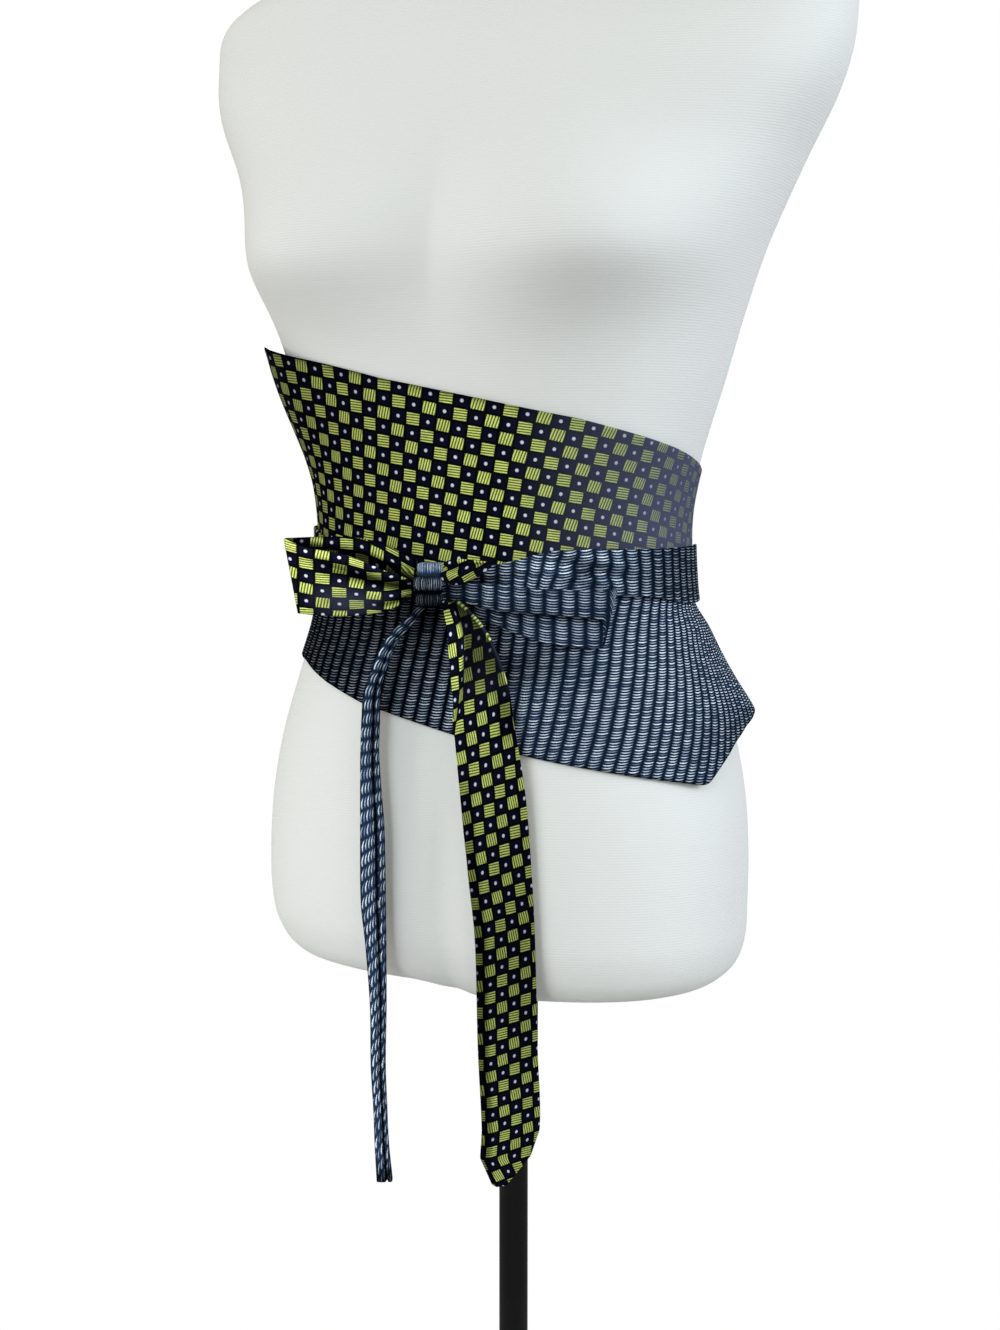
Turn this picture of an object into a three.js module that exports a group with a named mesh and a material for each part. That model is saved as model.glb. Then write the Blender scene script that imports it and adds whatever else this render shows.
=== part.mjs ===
// Obi belt made of two neckties sewn head to tail, tied in a bow at the front of a dress form.
// Millimetres, +Z up. The origin is on the floor under the middle of the pole.
// The form faces -Y and the wearer's left is +X. An angle phi runs from the front (-Y)
// towards +X, so -180 and +180 are both the centre back.
import * as THREE from 'three';
import { mergeVertices } from 'three/addons/utils/BufferGeometryUtils.js';

// ---- driving dimensions -------------------------------------------------------------------
const waistHeight = 800; // height of the waist above the floor
const seamGap = 0.3; // space left between neighbouring pieces
const panelLift = 1.0; // space between the form and the inner face of a panel
const clothThickness = 1.5; // a tie with its interlining
const strapLift = 3.4; // a strap lies over the panels
const strapThickness = 1.8; // a strap is a folded tie
const loopThickness = 2.0;
const poleRadius = 9.5;
const baseRadius = 165;

// ---- colours ------------------------------------------------------------------------------
const checkSilk = { color: 0x4f5a2c, roughness: 0.55, metalness: 0 };
const ribSilk = { color: 0x3d4d6b, roughness: 0.6, metalness: 0 };
const formJersey = { color: 0xe9e6de, roughness: 0.85, metalness: 0 };
const blackMetal = { color: 0x161616, roughness: 0.4, metalness: 0.8 };

// ---- small helpers ------------------------------------------------------------------------
const radians = (degrees) => (degrees * Math.PI) / 180;
const mix = (a, b, t) => a + (b - a) * t;

function smoothStep(t) {
  const c = Math.min(1, Math.max(0, t));
  return c * c * (3 - 2 * c);
}

// Reads one column of a table whose rows are sorted by `key`, in straight lines between rows.
function readLinear(table, key, column, at) {
  const last = table.length - 1;
  if (at <= table[0][key]) return table[0][column];
  if (at >= table[last][key]) return table[last][column];
  const i = table.findIndex((row) => row[key] >= at) - 1;
  const t = (at - table[i][key]) / (table[i + 1][key] - table[i][key]);
  return mix(table[i][column], table[i + 1][column], t);
}

// The same, on a smooth curve through the rows.
function readSmooth(table, key, column, at) {
  const last = table.length - 1;
  const x = Math.min(table[last][key], Math.max(table[0][key], at));
  const i = Math.max(0, Math.min(last - 1, table.findIndex((row) => row[key] >= x) - 1));
  const slope = (k) => {
    const a = Math.max(0, k - 1);
    const b = Math.min(last, k + 1);
    return (table[b][column] - table[a][column]) / (table[b][key] - table[a][key]);
  };
  const h = table[i + 1][key] - table[i][key];
  const t = (x - table[i][key]) / h;
  const t2 = t * t;
  const t3 = t2 * t;
  return (
    (2 * t3 - 3 * t2 + 1) * table[i][column] +
    (t3 - 2 * t2 + t) * h * slope(i) +
    (3 * t2 - 2 * t3) * table[i + 1][column] +
    (t3 - t2) * h * slope(i + 1)
  );
}

function columnNames(rows, names) {
  return rows.map((row) => Object.fromEntries(names.map((name, k) => [name, row[k]])));
}

function finishMesh(name, geometry, finish) {
  const mesh = new THREE.Mesh(geometry, new THREE.MeshStandardMaterial(finish));
  mesh.name = name;
  return mesh;
}

// A closed solid between two sheets of points. point(i, j, side) gives a THREE.Vector3 for
// column i, row j and side 0 (inner) or 1 (outer).
function slab(columns, rows, point) {
  const positions = [];
  const index = [];
  const at = (i, j, side) => (side * (columns + 1) + i) * (rows + 1) + j;
  for (let side = 0; side < 2; side += 1) {
    for (let i = 0; i <= columns; i += 1) {
      for (let j = 0; j <= rows; j += 1) positions.push(...point(i, j, side).toArray());
    }
  }
  const quad = (a, b, c, d) => index.push(a, b, c, a, c, d);
  for (let i = 0; i < columns; i += 1) {
    for (let j = 0; j < rows; j += 1) {
      quad(at(i, j, 1), at(i + 1, j, 1), at(i + 1, j + 1, 1), at(i, j + 1, 1));
      quad(at(i, j, 0), at(i, j + 1, 0), at(i + 1, j + 1, 0), at(i + 1, j, 0));
    }
  }
  for (let i = 0; i < columns; i += 1) {
    quad(at(i, 0, 0), at(i + 1, 0, 0), at(i + 1, 0, 1), at(i, 0, 1));
    quad(at(i, rows, 1), at(i + 1, rows, 1), at(i + 1, rows, 0), at(i, rows, 0));
  }
  for (let j = 0; j < rows; j += 1) {
    quad(at(0, j, 0), at(0, j, 1), at(0, j + 1, 1), at(0, j + 1, 0));
    quad(at(columns, j, 1), at(columns, j, 0), at(columns, j + 1, 0), at(columns, j + 1, 1));
  }
  return closedGeometry(positions, index);
}

// A closed solid through rings of points, each end closed by a flat fan.
function ringSolid(ringCount, sides, point) {
  const positions = [];
  const index = [];
  for (let i = 0; i < ringCount; i += 1) {
    for (let k = 0; k < sides; k += 1) positions.push(...point(i, k).toArray());
  }
  const centre = (i) => {
    const sum = new THREE.Vector3();
    for (let k = 0; k < sides; k += 1) sum.add(point(i, k));
    return sum.divideScalar(sides);
  };
  positions.push(...centre(0).toArray(), ...centre(ringCount - 1).toArray());
  const first = ringCount * sides;
  for (let k = 0; k < sides; k += 1) {
    const n = (k + 1) % sides;
    for (let i = 0; i < ringCount - 1; i += 1) {
      const a = i * sides;
      const b = a + sides;
      index.push(a + k, a + n, b + n, a + k, b + n, b + k);
    }
    const top = (ringCount - 1) * sides;
    index.push(first, n, k, first + 1, top + k, top + n);
  }
  return closedGeometry(positions, index);
}

function closedGeometry(positions, index) {
  const geometry = new THREE.BufferGeometry();
  geometry.setAttribute('position', new THREE.Float32BufferAttribute(positions, 3));
  geometry.setIndex(index);
  geometry.computeVertexNormals();
  return geometry;
}

// A turned piece: profile points are [radius, height], from axis to axis.
function turned(profile, segments) {
  const points = profile.map(([r, z]) => new THREE.Vector2(r, z));
  const geometry = new THREE.LatheGeometry(points, segments);
  geometry.rotateX(Math.PI / 2);
  geometry.deleteAttribute('normal');
  geometry.deleteAttribute('uv');
  const merged = mergeVertices(geometry, 1e-4);
  merged.computeVertexNormals();
  return merged;
}

// ---- the dress form -----------------------------------------------------------------------
// Level sections: half width, depth of the front and back halves, place of the middle in Y,
// and how square the corners are.
const formSections = columnNames([
  [543, 130, 82, 84, -13, 2.4],
  [547, 141, 91, 93, -13, 2.4],
  [558, 151, 99, 101, -13, 2.4],
  [580, 157, 103, 106, -14, 2.4],
  [640, 158, 103, 108, -14, 2.35],
  [690, 151, 101, 105, -13, 2.3],
  [740, 135, 94, 94, -15, 2.25],
  [770, 125, 88, 88, -17, 2.2],
  [800, 121, 87, 85, -17, 2.2],
  [835, 121, 88, 83, -17, 2.2],
  [870, 127, 92, 87, -15, 2.25],
  [920, 141, 100, 93, -11, 2.3],
  [960, 152, 106, 99, -9, 2.3],
  [1000, 165, 108, 105, -7, 2.3],
  [1050, 186, 102, 110, 0, 2.3],
  [1095, 209, 88, 108, 2, 2.3],
  [1130, 217, 75, 99, 7, 2.3],
  [1160, 212, 68, 90, 10, 2.3],
  [1182, 175, 62, 82, 14, 2.2],
  [1200, 115, 56, 70, 14, 2.1],
  [1215, 66, 52, 58, 14, 2.0],
  [1290, 58, 50, 54, 14, 2.0],
], ['z', 'halfWidth', 'front', 'back', 'middle', 'square']);

const bust = { angle: 40, spread: 28, height: 995, reach: 26, above: 62, below: 42 };

function bustReach(phi, z) {
  const turn = (Math.abs(phi) - radians(bust.angle)) / radians(bust.spread);
  const rise = (z - bust.height) / (z > bust.height ? bust.above : bust.below);
  return bust.reach * Math.exp(-turn * turn - rise * rise);
}

// A point on the form, or `lift` outside it.
function formPoint(phiDegrees, z, lift) {
  const turnsBack = ((phiDegrees + 180) % 360 + 360) % 360 - 180;
  const phi = radians(turnsBack);
  const read = (column) => readSmooth(formSections, 'z', column, z);
  const depth = Math.cos(phi) > 0 ? read('front') : read('back');
  const power = read('square');
  const across = Math.abs(Math.sin(phi)) / read('halfWidth');
  const along = Math.abs(Math.cos(phi)) / depth;
  const radius = (across ** power + along ** power) ** (-1 / power) + bustReach(phi, z) + lift;
  return new THREE.Vector3(radius * Math.sin(phi), read('middle') - radius * Math.cos(phi), z);
}

// The underside is level in the middle and rises towards the wearer's right.
const underside = { level: 0.45, middle: -75, halfSpan: 90, blend: -35, rise: 6, fadeOut: 60 };
const asideAtBottom = 2.5;

function makeForm() {
  const sides = 60;
  const bottom = formSections[0].z;
  const levels = [bottom, bottom, 545, 548, 553, 560, 570, 585];
  for (let z = 605; z <= 1120; z += 20.6) levels.push(z);
  levels.push(1136, 1148, 1158, 1167, 1175, 1183, 1191, 1199, 1207, 1215, 1228, 1250, 1280);
  return finishMesh('form_torso', ringSolid(levels.length, sides, (i, k) => {
    const phi = (360 * k) / sides - 180;
    const place = formPoint(phi, levels[i], 0);
    const fade = 1 - smoothStep((levels[i] - bottom) / underside.fadeOut);
    const side = smoothStep((Math.abs(phi - underside.middle) - underside.halfSpan) / underside.blend);
    place.z += underside.rise * fade * side;
    place.x += asideAtBottom * fade;
    if (i === 0) place.set(place.x * underside.level, place.y * underside.level, bottom);
    return place;
  }), formJersey);
}

const neck = { top: 1280, capHeight: 9, capEdge: 4 };

function makeNeckCap() {
  const sides = 48;
  const rings = [
    { z: neck.top + seamGap, lift: -1 },
    { z: neck.top + seamGap + neck.capHeight - neck.capEdge, lift: 0 },
    { z: neck.top + seamGap + neck.capHeight, lift: -neck.capEdge },
  ];
  return finishMesh('neck_cap', ringSolid(rings.length, sides, (i, k) => {
    const edge = formPoint((360 * k) / sides - 180, neck.top, rings[i].lift);
    return new THREE.Vector3(edge.x, edge.y, rings[i].z);
  }), formJersey);
}

// ---- the stand ----------------------------------------------------------------------------
const collar = { top: 542.7, plate: 45, plateThickness: 5, sleeve: 16, bottom: 485 };
const hub = { radius: 22, top: 46, floor: 10 };

function makeCollar() {
  const bore = poleRadius + seamGap;
  const plateUnder = collar.top - collar.plateThickness;
  return finishMesh('pole_collar', turned([
    [0, plateUnder],
    [bore, plateUnder],
    [bore, collar.bottom],
    [collar.sleeve, collar.bottom],
    [collar.sleeve, plateUnder - 8],
    [collar.sleeve + 8, plateUnder],
    [collar.plate, plateUnder],
    [collar.plate, collar.top],
    [0, collar.top],
  ], 36), blackMetal);
}

function makePole() {
  const top = collar.top - collar.plateThickness - seamGap;
  return finishMesh('pole', turned([
    [0, hub.floor + seamGap],
    [poleRadius, hub.floor + seamGap],
    [poleRadius, top],
    [0, top],
  ], 36), blackMetal);
}

function makeBase() {
  const bore = poleRadius + seamGap;
  return finishMesh('base', turned([
    [0, 0],
    [baseRadius - 3, 0],
    [baseRadius, 3],
    [baseRadius, 7],
    [baseRadius - 4, 10],
    [hub.radius + 14, 16],
    [hub.radius, 26],
    [hub.radius, hub.top - 2],
    [hub.radius - 2, hub.top],
    [bore, hub.top],
    [bore, hub.floor],
    [0, hub.floor],
  ], 60), blackMetal);
}

// ---- the wide band ------------------------------------------------------------------------
// Edges in heights above the waist. The upper panel is the checked tie, with its pointed end
// at the wearer's right. The lower panel is the ribbed tie, pointed at the wearer's left.
const upperEdges = columnNames([
  [-106, 106, 102],
  [-81, 130.5, 25],
  [-69, 143, 0],
  [-51, 133, 0],
  [-20, 118, 0],
  [16, 105, 0],
  [46, 93, 0],
  [70, 80, 0],
  [99, 65, 0],
  [125, 55, 0],
  [150, 46, 0],
  [179.8, 38, 1],
], ['phi', 'top', 'bottom']);

const lowerEdges = columnNames([
  [-179.8, -1, -37],
  [-150, 0, -40],
  [-120, 0, -45],
  [-90, 0, -50],
  [-61, 0, -57],
  [-46, 0, -68],
  [-29, 0, -79],
  [6, 0, -94],
  [30, 0, -105],
  [49, 0, -113],
  [67, 0, -121],
  [75, 0, -124.5],
  [78.5, -1, -116],
  [85.5, -4, -101.5],
  [92, -9, -93],
  [99, -18, -88],
  [103, -33, -86.5],
  [105.5, -84, -85.5],
], ['phi', 'top', 'bottom']);

// How far the stiff silk stands away from the form, near its free corners: quickly by
// `reach` past the strap, then by `more` towards the point.
const upperFlare = { from: -40, over: -30, start: 50, rise: 80, reach: 10, next: 50, more: 0 };
const lowerFlare = { from: 60, over: 45, start: -18, rise: -18, reach: 6, next: -45, more: 9.5 };

function standOff(flare, phi, h) {
  const sideways = smoothStep((phi - flare.from) / flare.over);
  const near = flare.reach * smoothStep((h - flare.start) / flare.rise);
  const far = flare.more * smoothStep((h - flare.next) / (flare.rise * 2.5));
  return sideways * (near + far);
}

// Angles at every row of the table, with steps of at most `step` degrees between them.
function columnAngles(table, step) {
  const angles = [table[0].phi];
  for (let i = 1; i < table.length; i += 1) {
    const from = table[i - 1].phi;
    const parts = Math.ceil((table[i].phi - from) / step);
    for (let k = 1; k <= parts; k += 1) angles.push(mix(from, table[i].phi, k / parts));
  }
  return angles;
}

function makePanel(name, edges, flare, rows, seamEdge, finish) {
  const angles = columnAngles(edges, 7);
  return finishMesh(name, slab(angles.length - 1, rows, (i, j, side) => {
    const phi = angles[i];
    const top = readLinear(edges, 'phi', 'top', phi) - (seamEdge === 'top' ? seamGap / 2 : 0);
    const low = readLinear(edges, 'phi', 'bottom', phi) + (seamEdge === 'bottom' ? seamGap / 2 : 0);
    const h = mix(low, top, j / rows);
    const lift = panelLift + standOff(flare, phi, h) + side * clothThickness;
    return formPoint(phi, waistHeight + h, lift);
  }), finish);
}

// ---- the straps round the waist -----------------------------------------------------------
// Each strap goes on from the narrow end of its panel at the centre back, over the other
// panel, to the knot.
const leftStrapEdges = columnNames([
  [-179.8, 38, 1],
  [-160, 36, 1],
  [-140, 33, -4],
  [-90, 29, -9],
  [-65, 27, -11],
  [-50, 19, -15],
  [-35, 16, -16],
  [-20, 12, -14],
  [-7, 8, -11],
], ['phi', 'top', 'bottom']);

const rightStrapEdges = columnNames([
  [7, 6, -10],
  [24, 8, -10],
  [37, 14, -10],
  [47, 16.5, -11],
  [68, 16.5, -12],
  [90, 17, -18],
  [105, 17.5, -18],
  [140, 5, -30],
  [160, -1, -36],
  [179.8, -1, -37],
], ['phi', 'top', 'bottom']);

const strapSettle = 18; // degrees from the centre back in which a strap rises over the panel

function makeStrap(name, edges, finish) {
  const angles = columnAngles(edges, 6);
  const rows = 2;
  return finishMesh(name, slab(angles.length - 1, rows, (i, j, side) => {
    const phi = angles[i];
    const top = readSmooth(edges, 'phi', 'top', phi);
    const low = readSmooth(edges, 'phi', 'bottom', phi);
    const rise = smoothStep((180 - Math.abs(phi)) / strapSettle);
    const lift = mix(panelLift, strapLift, rise) + side * strapThickness;
    return formPoint(phi, waistHeight + mix(low, top, j / rows), lift);
  }), finish);
}

// ---- the bow ------------------------------------------------------------------------------
const knot = { x: 0, y: -117.6, width: 21, depth: 15.4 };
const knotRings = columnNames([
  [782.5, 0.62],
  [784, 0.82],
  [788, 0.92],
  [791, 0.84],
  [793, 0.95],
  [797.5, 1.0],
  [801, 0.93],
  [802, 0.86],
  [804, 0.97],
  [806.5, 0.93],
  [808.5, 0.66],
], ['z', 'size']);

function makeKnot() {
  const sides = 20;
  const square = 2.6;
  return finishMesh('knot', ringSolid(knotRings.length, sides, (i, k) => {
    const turn = (2 * Math.PI * k) / sides;
    const c = Math.cos(turn);
    const s = Math.sin(turn);
    const reach = (Math.abs(c) ** square + Math.abs(s) ** square) ** (-1 / square);
    const x = knot.x + reach * c * (knot.width / 2) * knotRings[i].size;
    const y = knot.y + reach * s * (knot.depth / 2) * knotRings[i].size;
    return new THREE.Vector3(x, y, knotRings[i].z);
  }), ribSilk);
}

// A ribbon through stations from the knot, out and back to the knot. Each station gives the
// middle of the ribbon, half its height, and how far the top leans in X.
function ribbon(stations, columns, rows, thickness) {
  const table = stations.map((row, k) => ({ ...row, t: k / (stations.length - 1) }));
  const read = (column, t) => readSmooth(table, 't', column, t);
  return slab(columns, rows, (i, j, side) => {
    const t = i / columns;
    const v = (2 * j) / rows - 1;
    const step = 0.004;
    const dx = read('x', Math.min(1, t + step)) - read('x', Math.max(0, t - step));
    const dy = read('y', Math.min(1, t + step)) - read('y', Math.max(0, t - step));
    const length = Math.hypot(dx, dy);
    const half = read('half', t);
    const out = (side - 0.5) * thickness + read('belly', t) * (1 - v * v);
    return new THREE.Vector3(
      read('x', t) + (dy / length) * out + read('lean', t) * v,
      read('y', t) - (dx / length) * out,
      read('z', t) + half * v,
    );
  });
}

const ribbonColumns = ['x', 'y', 'z', 'half', 'lean', 'belly'];

const leftLoop = columnNames([
  [-11, -115, 803.5, 7, 0, 0],
  [-24, -116.5, 806, 10, 0, 0],
  [-44, -120.5, 803, 18, 0, 0],
  [-66, -126, 801, 22, -3, 0],
  [-82, -130, 800, 22.5, -5.5, 0],
  [-87.5, -133.5, 799.5, 22.5, -6, 0],
  [-82, -136.5, 799, 22, -5.5, 0],
  [-66, -138, 797.5, 20.5, -3, 1],
  [-44, -136, 794.5, 18, 0, 2],
  [-24, -130.5, 792, 11.5, 0, 1],
  [-11, -123, 793, 6, 0, 0],
], ribbonColumns);

const rightLoop = columnNames([
  [11, -123, 796, 6, 0, 0],
  [26, -124, 793, 9, 0, 1],
  [48, -120, 790, 13.5, 0, 2],
  [72, -110, 787.5, 13, 1, 1],
  [92, -95.5, 783, 10.5, 3, 0],
  [97.5, -88, 777, 12.5, 3, 0],
  [89, -91.5, 772, 13.5, 2, 0],
  [68, -104.5, 772, 14, 0, 0],
  [46, -111.2, 778, 11, 0, 0],
  [26, -114.5, 786, 7, 0, 0],
  [11, -116, 790, 5, 0, 0],
], ribbonColumns);

const twist = columnNames([
  [11.2, -126.8, 803.5, 6, 0, 0.5],
  [20, -127.6, 804.5, 7, 0, 1],
  [30, -126.6, 805, 5.5, 0, 1],
  [41, -124.6, 807.5, 1.6, 0, 0],
], ribbonColumns);

function makeBowPiece(name, stations, columns, rows, finish, flip) {
  const order = flip ? [...stations].reverse() : stations;
  return finishMesh(name, ribbon(order, columns, rows, loopThickness), finish);
}

// The checked tail hangs turned towards the wearer's left: its inner edge stands forward.
const rightTail = columnNames([
  [786.5, 10.9, -123.5, 22, -127.2, 1.2],
  [780, 12, -126, 33, -127, 1.6],
  [769, 15.5, -132, 42, -124.5, 1.8],
  [755, 20, -139, 49, -122, 2],
  [735, 24, -142, 55, -121, 2],
  [714, 27, -143, 58, -121, 2.2],
  [674, 31, -143, 63, -121, 2.2],
  [628, 36, -143, 67, -121, 2.2],
  [591, 41, -143, 69, -121, 2.2],
  [523, 43, -143, 71, -121, 2.2],
  [474, 45, -142, 72, -120, 2.2],
  [458, 44, -142, 67, -122, 2.2],
  [441, 50, -137, 55, -132, 2.0],
], ['z', 'leftX', 'leftY', 'rightX', 'rightY', 'thickness']);

function makeRightTail() {
  const columns = 40;
  const rows = 4;
  const low = rightTail[rightTail.length - 1].z;
  const table = [...rightTail].reverse();
  return finishMesh('tail_right', slab(columns, rows, (i, j, side) => {
    const z = mix(low, rightTail[0].z, i / columns);
    const read = (column) => readLinear(table, 'z', column, z);
    const left = new THREE.Vector2(read('leftX'), read('leftY'));
    const right = new THREE.Vector2(read('rightX'), read('rightY'));
    const across = right.clone().sub(left).normalize();
    const out = (side - 0.5) * read('thickness');
    const place = right.clone().lerp(left, j / rows);
    return new THREE.Vector3(place.x + across.y * out, place.y - across.x * out, z);
  }), checkSilk);
}

// The ribbed tail is folded lengthwise: two strands side by side, joined behind.
const leftTail = columnNames([
  [782, -7.5, -120, 5, 4],
  [777, -12.5, -121.5, 5.5, 4.5],
  [771, -18.5, -122.5, 7, 6],
  [762, -27, -124.5, 8.3, 9],
  [752, -30.5, -126, 8.5, 11],
  [742, -33, -127, 8.6, 12],
  [730, -35, -128, 10, 13],
  [716, -35.5, -129, 11, 13],
  [693, -35.6, -130.5, 11.2, 13],
  [671, -34.2, -132, 12.7, 13],
  [647, -32.5, -133.5, 14.5, 13],
  [603, -31.8, -134, 15, 13],
  [580, -30.4, -134, 12.8, 13],
  [540, -28.8, -134, 10, 13],
  [502, -29, -134, 9, 13],
  [477, -27.8, -134, 8.4, 13],
  [453, -26.8, -134, 8.6, 13],
  [432, -25, -134, 9.6, 12],
], ['z', 'x', 'y', 'width', 'depth']);

const strands = { facing: 27, split: 0.16, grooveWidth: 0.06, grooveDepth: 0.15, round: 0.16 };

function makeLeftTail() {
  const { facing, split, grooveWidth, grooveDepth, round } = strands;
  // Section seen from above, in parts of its width and depth: [across, back].
  const outline = [
    [-0.42, 1],
    [0.42, 1],
    [0.5, 0.8],
    [0.5, round],
    [0.5 - round, 0],
    [split + grooveWidth, 0.06],
    [split, grooveDepth],
    [split - grooveWidth, 0.06],
    [round - 0.5, 0],
    [-0.5, round],
    [-0.5, 0.8],
  ];
  const turn = radians(facing);
  const table = [...leftTail].reverse();
  const rings = 38;
  return finishMesh('tail_left', ringSolid(rings + 1, outline.length, (i, k) => {
    const z = mix(table[0].z, leftTail[0].z, i / rings);
    const read = (column) => readSmooth(table, 'z', column, z);
    const [sideways, back] = outline[outline.length - 1 - k];
    const across = sideways * read('width');
    const behind = back * read('depth');
    const x = read('x') + across * Math.cos(turn) - behind * Math.sin(turn);
    const y = read('y') + across * Math.sin(turn) + behind * Math.cos(turn);
    return new THREE.Vector3(x, y, z);
  }), ribSilk);
}

// ---- the whole part -----------------------------------------------------------------------
const part = new THREE.Group();
part.add(
  makeForm(),
  makeNeckCap(),
  makeCollar(),
  makePole(),
  makeBase(),
  makePanel('upper_panel', upperEdges, upperFlare, 8, 'bottom', checkSilk),
  makePanel('lower_panel', lowerEdges, lowerFlare, 7, 'top', ribSilk),
  makeStrap('waist_strap_left', leftStrapEdges, checkSilk),
  makeStrap('waist_strap_right', rightStrapEdges, ribSilk),
  makeKnot(),
  makeBowPiece('bow_loop_left', leftLoop, 30, 4, checkSilk, false),
  makeBowPiece('bow_loop_right', rightLoop, 30, 4, ribSilk, false),
  makeBowPiece('bow_twist', twist, 8, 3, checkSilk, false),
  makeLeftTail(),
  makeRightTail(),
);

export default part;
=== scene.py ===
import bmesh
import bpy
import math
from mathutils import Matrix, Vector, noise


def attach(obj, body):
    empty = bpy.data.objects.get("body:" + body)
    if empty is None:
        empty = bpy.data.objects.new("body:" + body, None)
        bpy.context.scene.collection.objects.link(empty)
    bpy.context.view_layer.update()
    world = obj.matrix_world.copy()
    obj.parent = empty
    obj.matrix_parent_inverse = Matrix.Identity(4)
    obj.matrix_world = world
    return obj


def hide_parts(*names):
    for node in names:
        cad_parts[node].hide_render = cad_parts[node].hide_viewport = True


# A wide belt of two silk ties, tied in a bow on a dress form. The form faces -Y and the
# wearer's left is +X. Lengths in the dictionaries are millimetres, except in the studio and
# for the relief of a surface, which are metres. Angles are degrees, and phi runs from the
# front (-Y) towards +X. Heights "h" are measured from the waist.
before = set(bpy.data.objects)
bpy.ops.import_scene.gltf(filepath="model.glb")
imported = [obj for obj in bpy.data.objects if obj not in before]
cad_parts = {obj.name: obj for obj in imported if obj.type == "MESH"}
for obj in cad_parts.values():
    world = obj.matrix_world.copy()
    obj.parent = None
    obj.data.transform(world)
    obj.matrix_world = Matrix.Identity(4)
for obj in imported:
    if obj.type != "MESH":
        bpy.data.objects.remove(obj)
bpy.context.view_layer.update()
mm = 0.001
waist = 800
print("frame loaded")


# Reading the tables.
def smoothStep(t):
    t = min(1, max(0, t))
    return t * t * (3 - 2 * t)


def mix(a, b, t):
    return a + (b - a) * t


# From a to b as x goes from start to end, level at both ends and beyond them.
def fade(x, start, end, a=0, b=1):
    return mix(a, b, smoothStep((x - start) / (end - start)))


def fadeAll(x, fades):
    return math.prod(fade(x, *each) for each in fades)


# 1 in the middle of a soft spot, less towards its reach in x and y.
def softSpot(x, y, middleX, reachX, middleY, reachY):
    return math.exp(-(((x - middleX) / reachX) ** 2) - ((y - middleY) / reachY) ** 2)


def findRow(rows, at):
    i = 0
    while i < len(rows) - 2 and at > rows[i + 1][0]:
        i += 1
    return i


# Straight lines between the rows; the first value of a row is where it stands.
def readStraight(rows, at):
    at = min(rows[-1][0], max(rows[0][0], at))
    i = findRow(rows, at)
    a, b = rows[i], rows[i + 1]
    t = (at - a[0]) / (b[0] - a[0])
    return [mix(p, q, t) for p, q in zip(a[1:], b[1:])]


# A smooth curve through the rows.
def readSmooth(rows, at):
    at = min(rows[-1][0], max(rows[0][0], at))
    i = findRow(rows, at)
    a, b = rows[i], rows[i + 1]
    before, after = rows[max(0, i - 1)], rows[min(len(rows) - 1, i + 2)]
    span = b[0] - a[0]
    t = (at - a[0]) / span
    out = []
    for k in range(1, len(a)):
        slopeA = (b[k] - before[k]) / (b[0] - before[0]) * span
        slopeB = (after[k] - a[k]) / (after[0] - a[0]) * span
        out.append(
            (2 * t**3 - 3 * t**2 + 1) * a[k]
            + (t**3 - 2 * t**2 + t) * slopeA
            + (3 * t**2 - 2 * t**3) * b[k]
            + (t**3 - t**2) * slopeB
        )
    return out


# Soft troughs and ridges placed one by one. Each is a line from (s0, t0) to (s1, t1) on the
# cloth, with its width in t at both ends and its height, which fades in and out.
def creaseHeight(creases, s, t):
    total = 0
    for s0, t0, s1, t1, width0, width1, height in creases:
        k = (s - s0) / (s1 - s0)
        if 0 < k < 1:
            off = (t - mix(t0, t1, k)) / mix(width0, width1, k)
            total += height * fade(k, 0, 0.25) * fade(k, 1, 0.75) * math.exp(-off * off)
    return total


# Material nodes.
def newMaterial(name):
    material = bpy.data.materials.new(name)
    material.use_nodes = True
    tree = material.node_tree
    return material, tree, tree.nodes["Principled BSDF"]


def put(tree, socket, value):
    if isinstance(value, bpy.types.NodeSocket):
        tree.links.new(value, socket)
    else:
        socket.default_value = value


def calc(tree, operation, *values):
    node = tree.nodes.new("ShaderNodeMath")
    node.operation = operation
    for socket, value in zip(node.inputs, values):
        put(tree, socket, value)
    return node.outputs[0]


def blend(tree, factor, first, second):
    node = tree.nodes.new("ShaderNodeMix")
    node.data_type = "RGBA"
    put(tree, node.inputs["Factor"], factor)
    put(tree, node.inputs["A"], first)
    put(tree, node.inputs["B"], second)
    return node.outputs["Result"]


def noiseAt(tree, vector, scale, detail):
    node = tree.nodes.new("ShaderNodeTexNoise")
    put(tree, node.inputs["Vector"], vector)
    node.inputs["Scale"].default_value = scale
    node.inputs["Detail"].default_value = detail
    return node.outputs["Fac"]


# Noise about zero.
def wobble(tree, vector, scale, detail, reach):
    centred = calc(tree, "SUBTRACT", noiseAt(tree, vector, scale, detail), 0.5)
    return calc(tree, "MULTIPLY", centred, reach)


# The number of the cell that a value falls in, and its place there, from -0.5 to 0.5.
def cellAt(tree, value):
    cell = calc(tree, "FLOOR", value)
    return cell, calc(tree, "SUBTRACT", calc(tree, "SUBTRACT", value, cell), 0.5)


# A chance value from 0 to 1 for each pair of whole numbers.
def scatter(tree, x, y):
    joined = tree.nodes.new("ShaderNodeCombineXYZ")
    put(tree, joined.inputs[0], x)
    put(tree, joined.inputs[1], y)
    node = tree.nodes.new("ShaderNodeTexWhiteNoise")
    node.noise_dimensions = "3D"
    put(tree, node.inputs["Vector"], joined.outputs[0])
    return node.outputs["Value"]


def ramp(tree, value, low, high):
    node = tree.nodes.new("ShaderNodeMapRange")
    node.interpolation_type = "SMOOTHSTEP"
    put(tree, node.inputs["Value"], value)
    node.inputs["From Min"].default_value = low
    node.inputs["From Max"].default_value = high
    return node.outputs["Result"]


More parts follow.
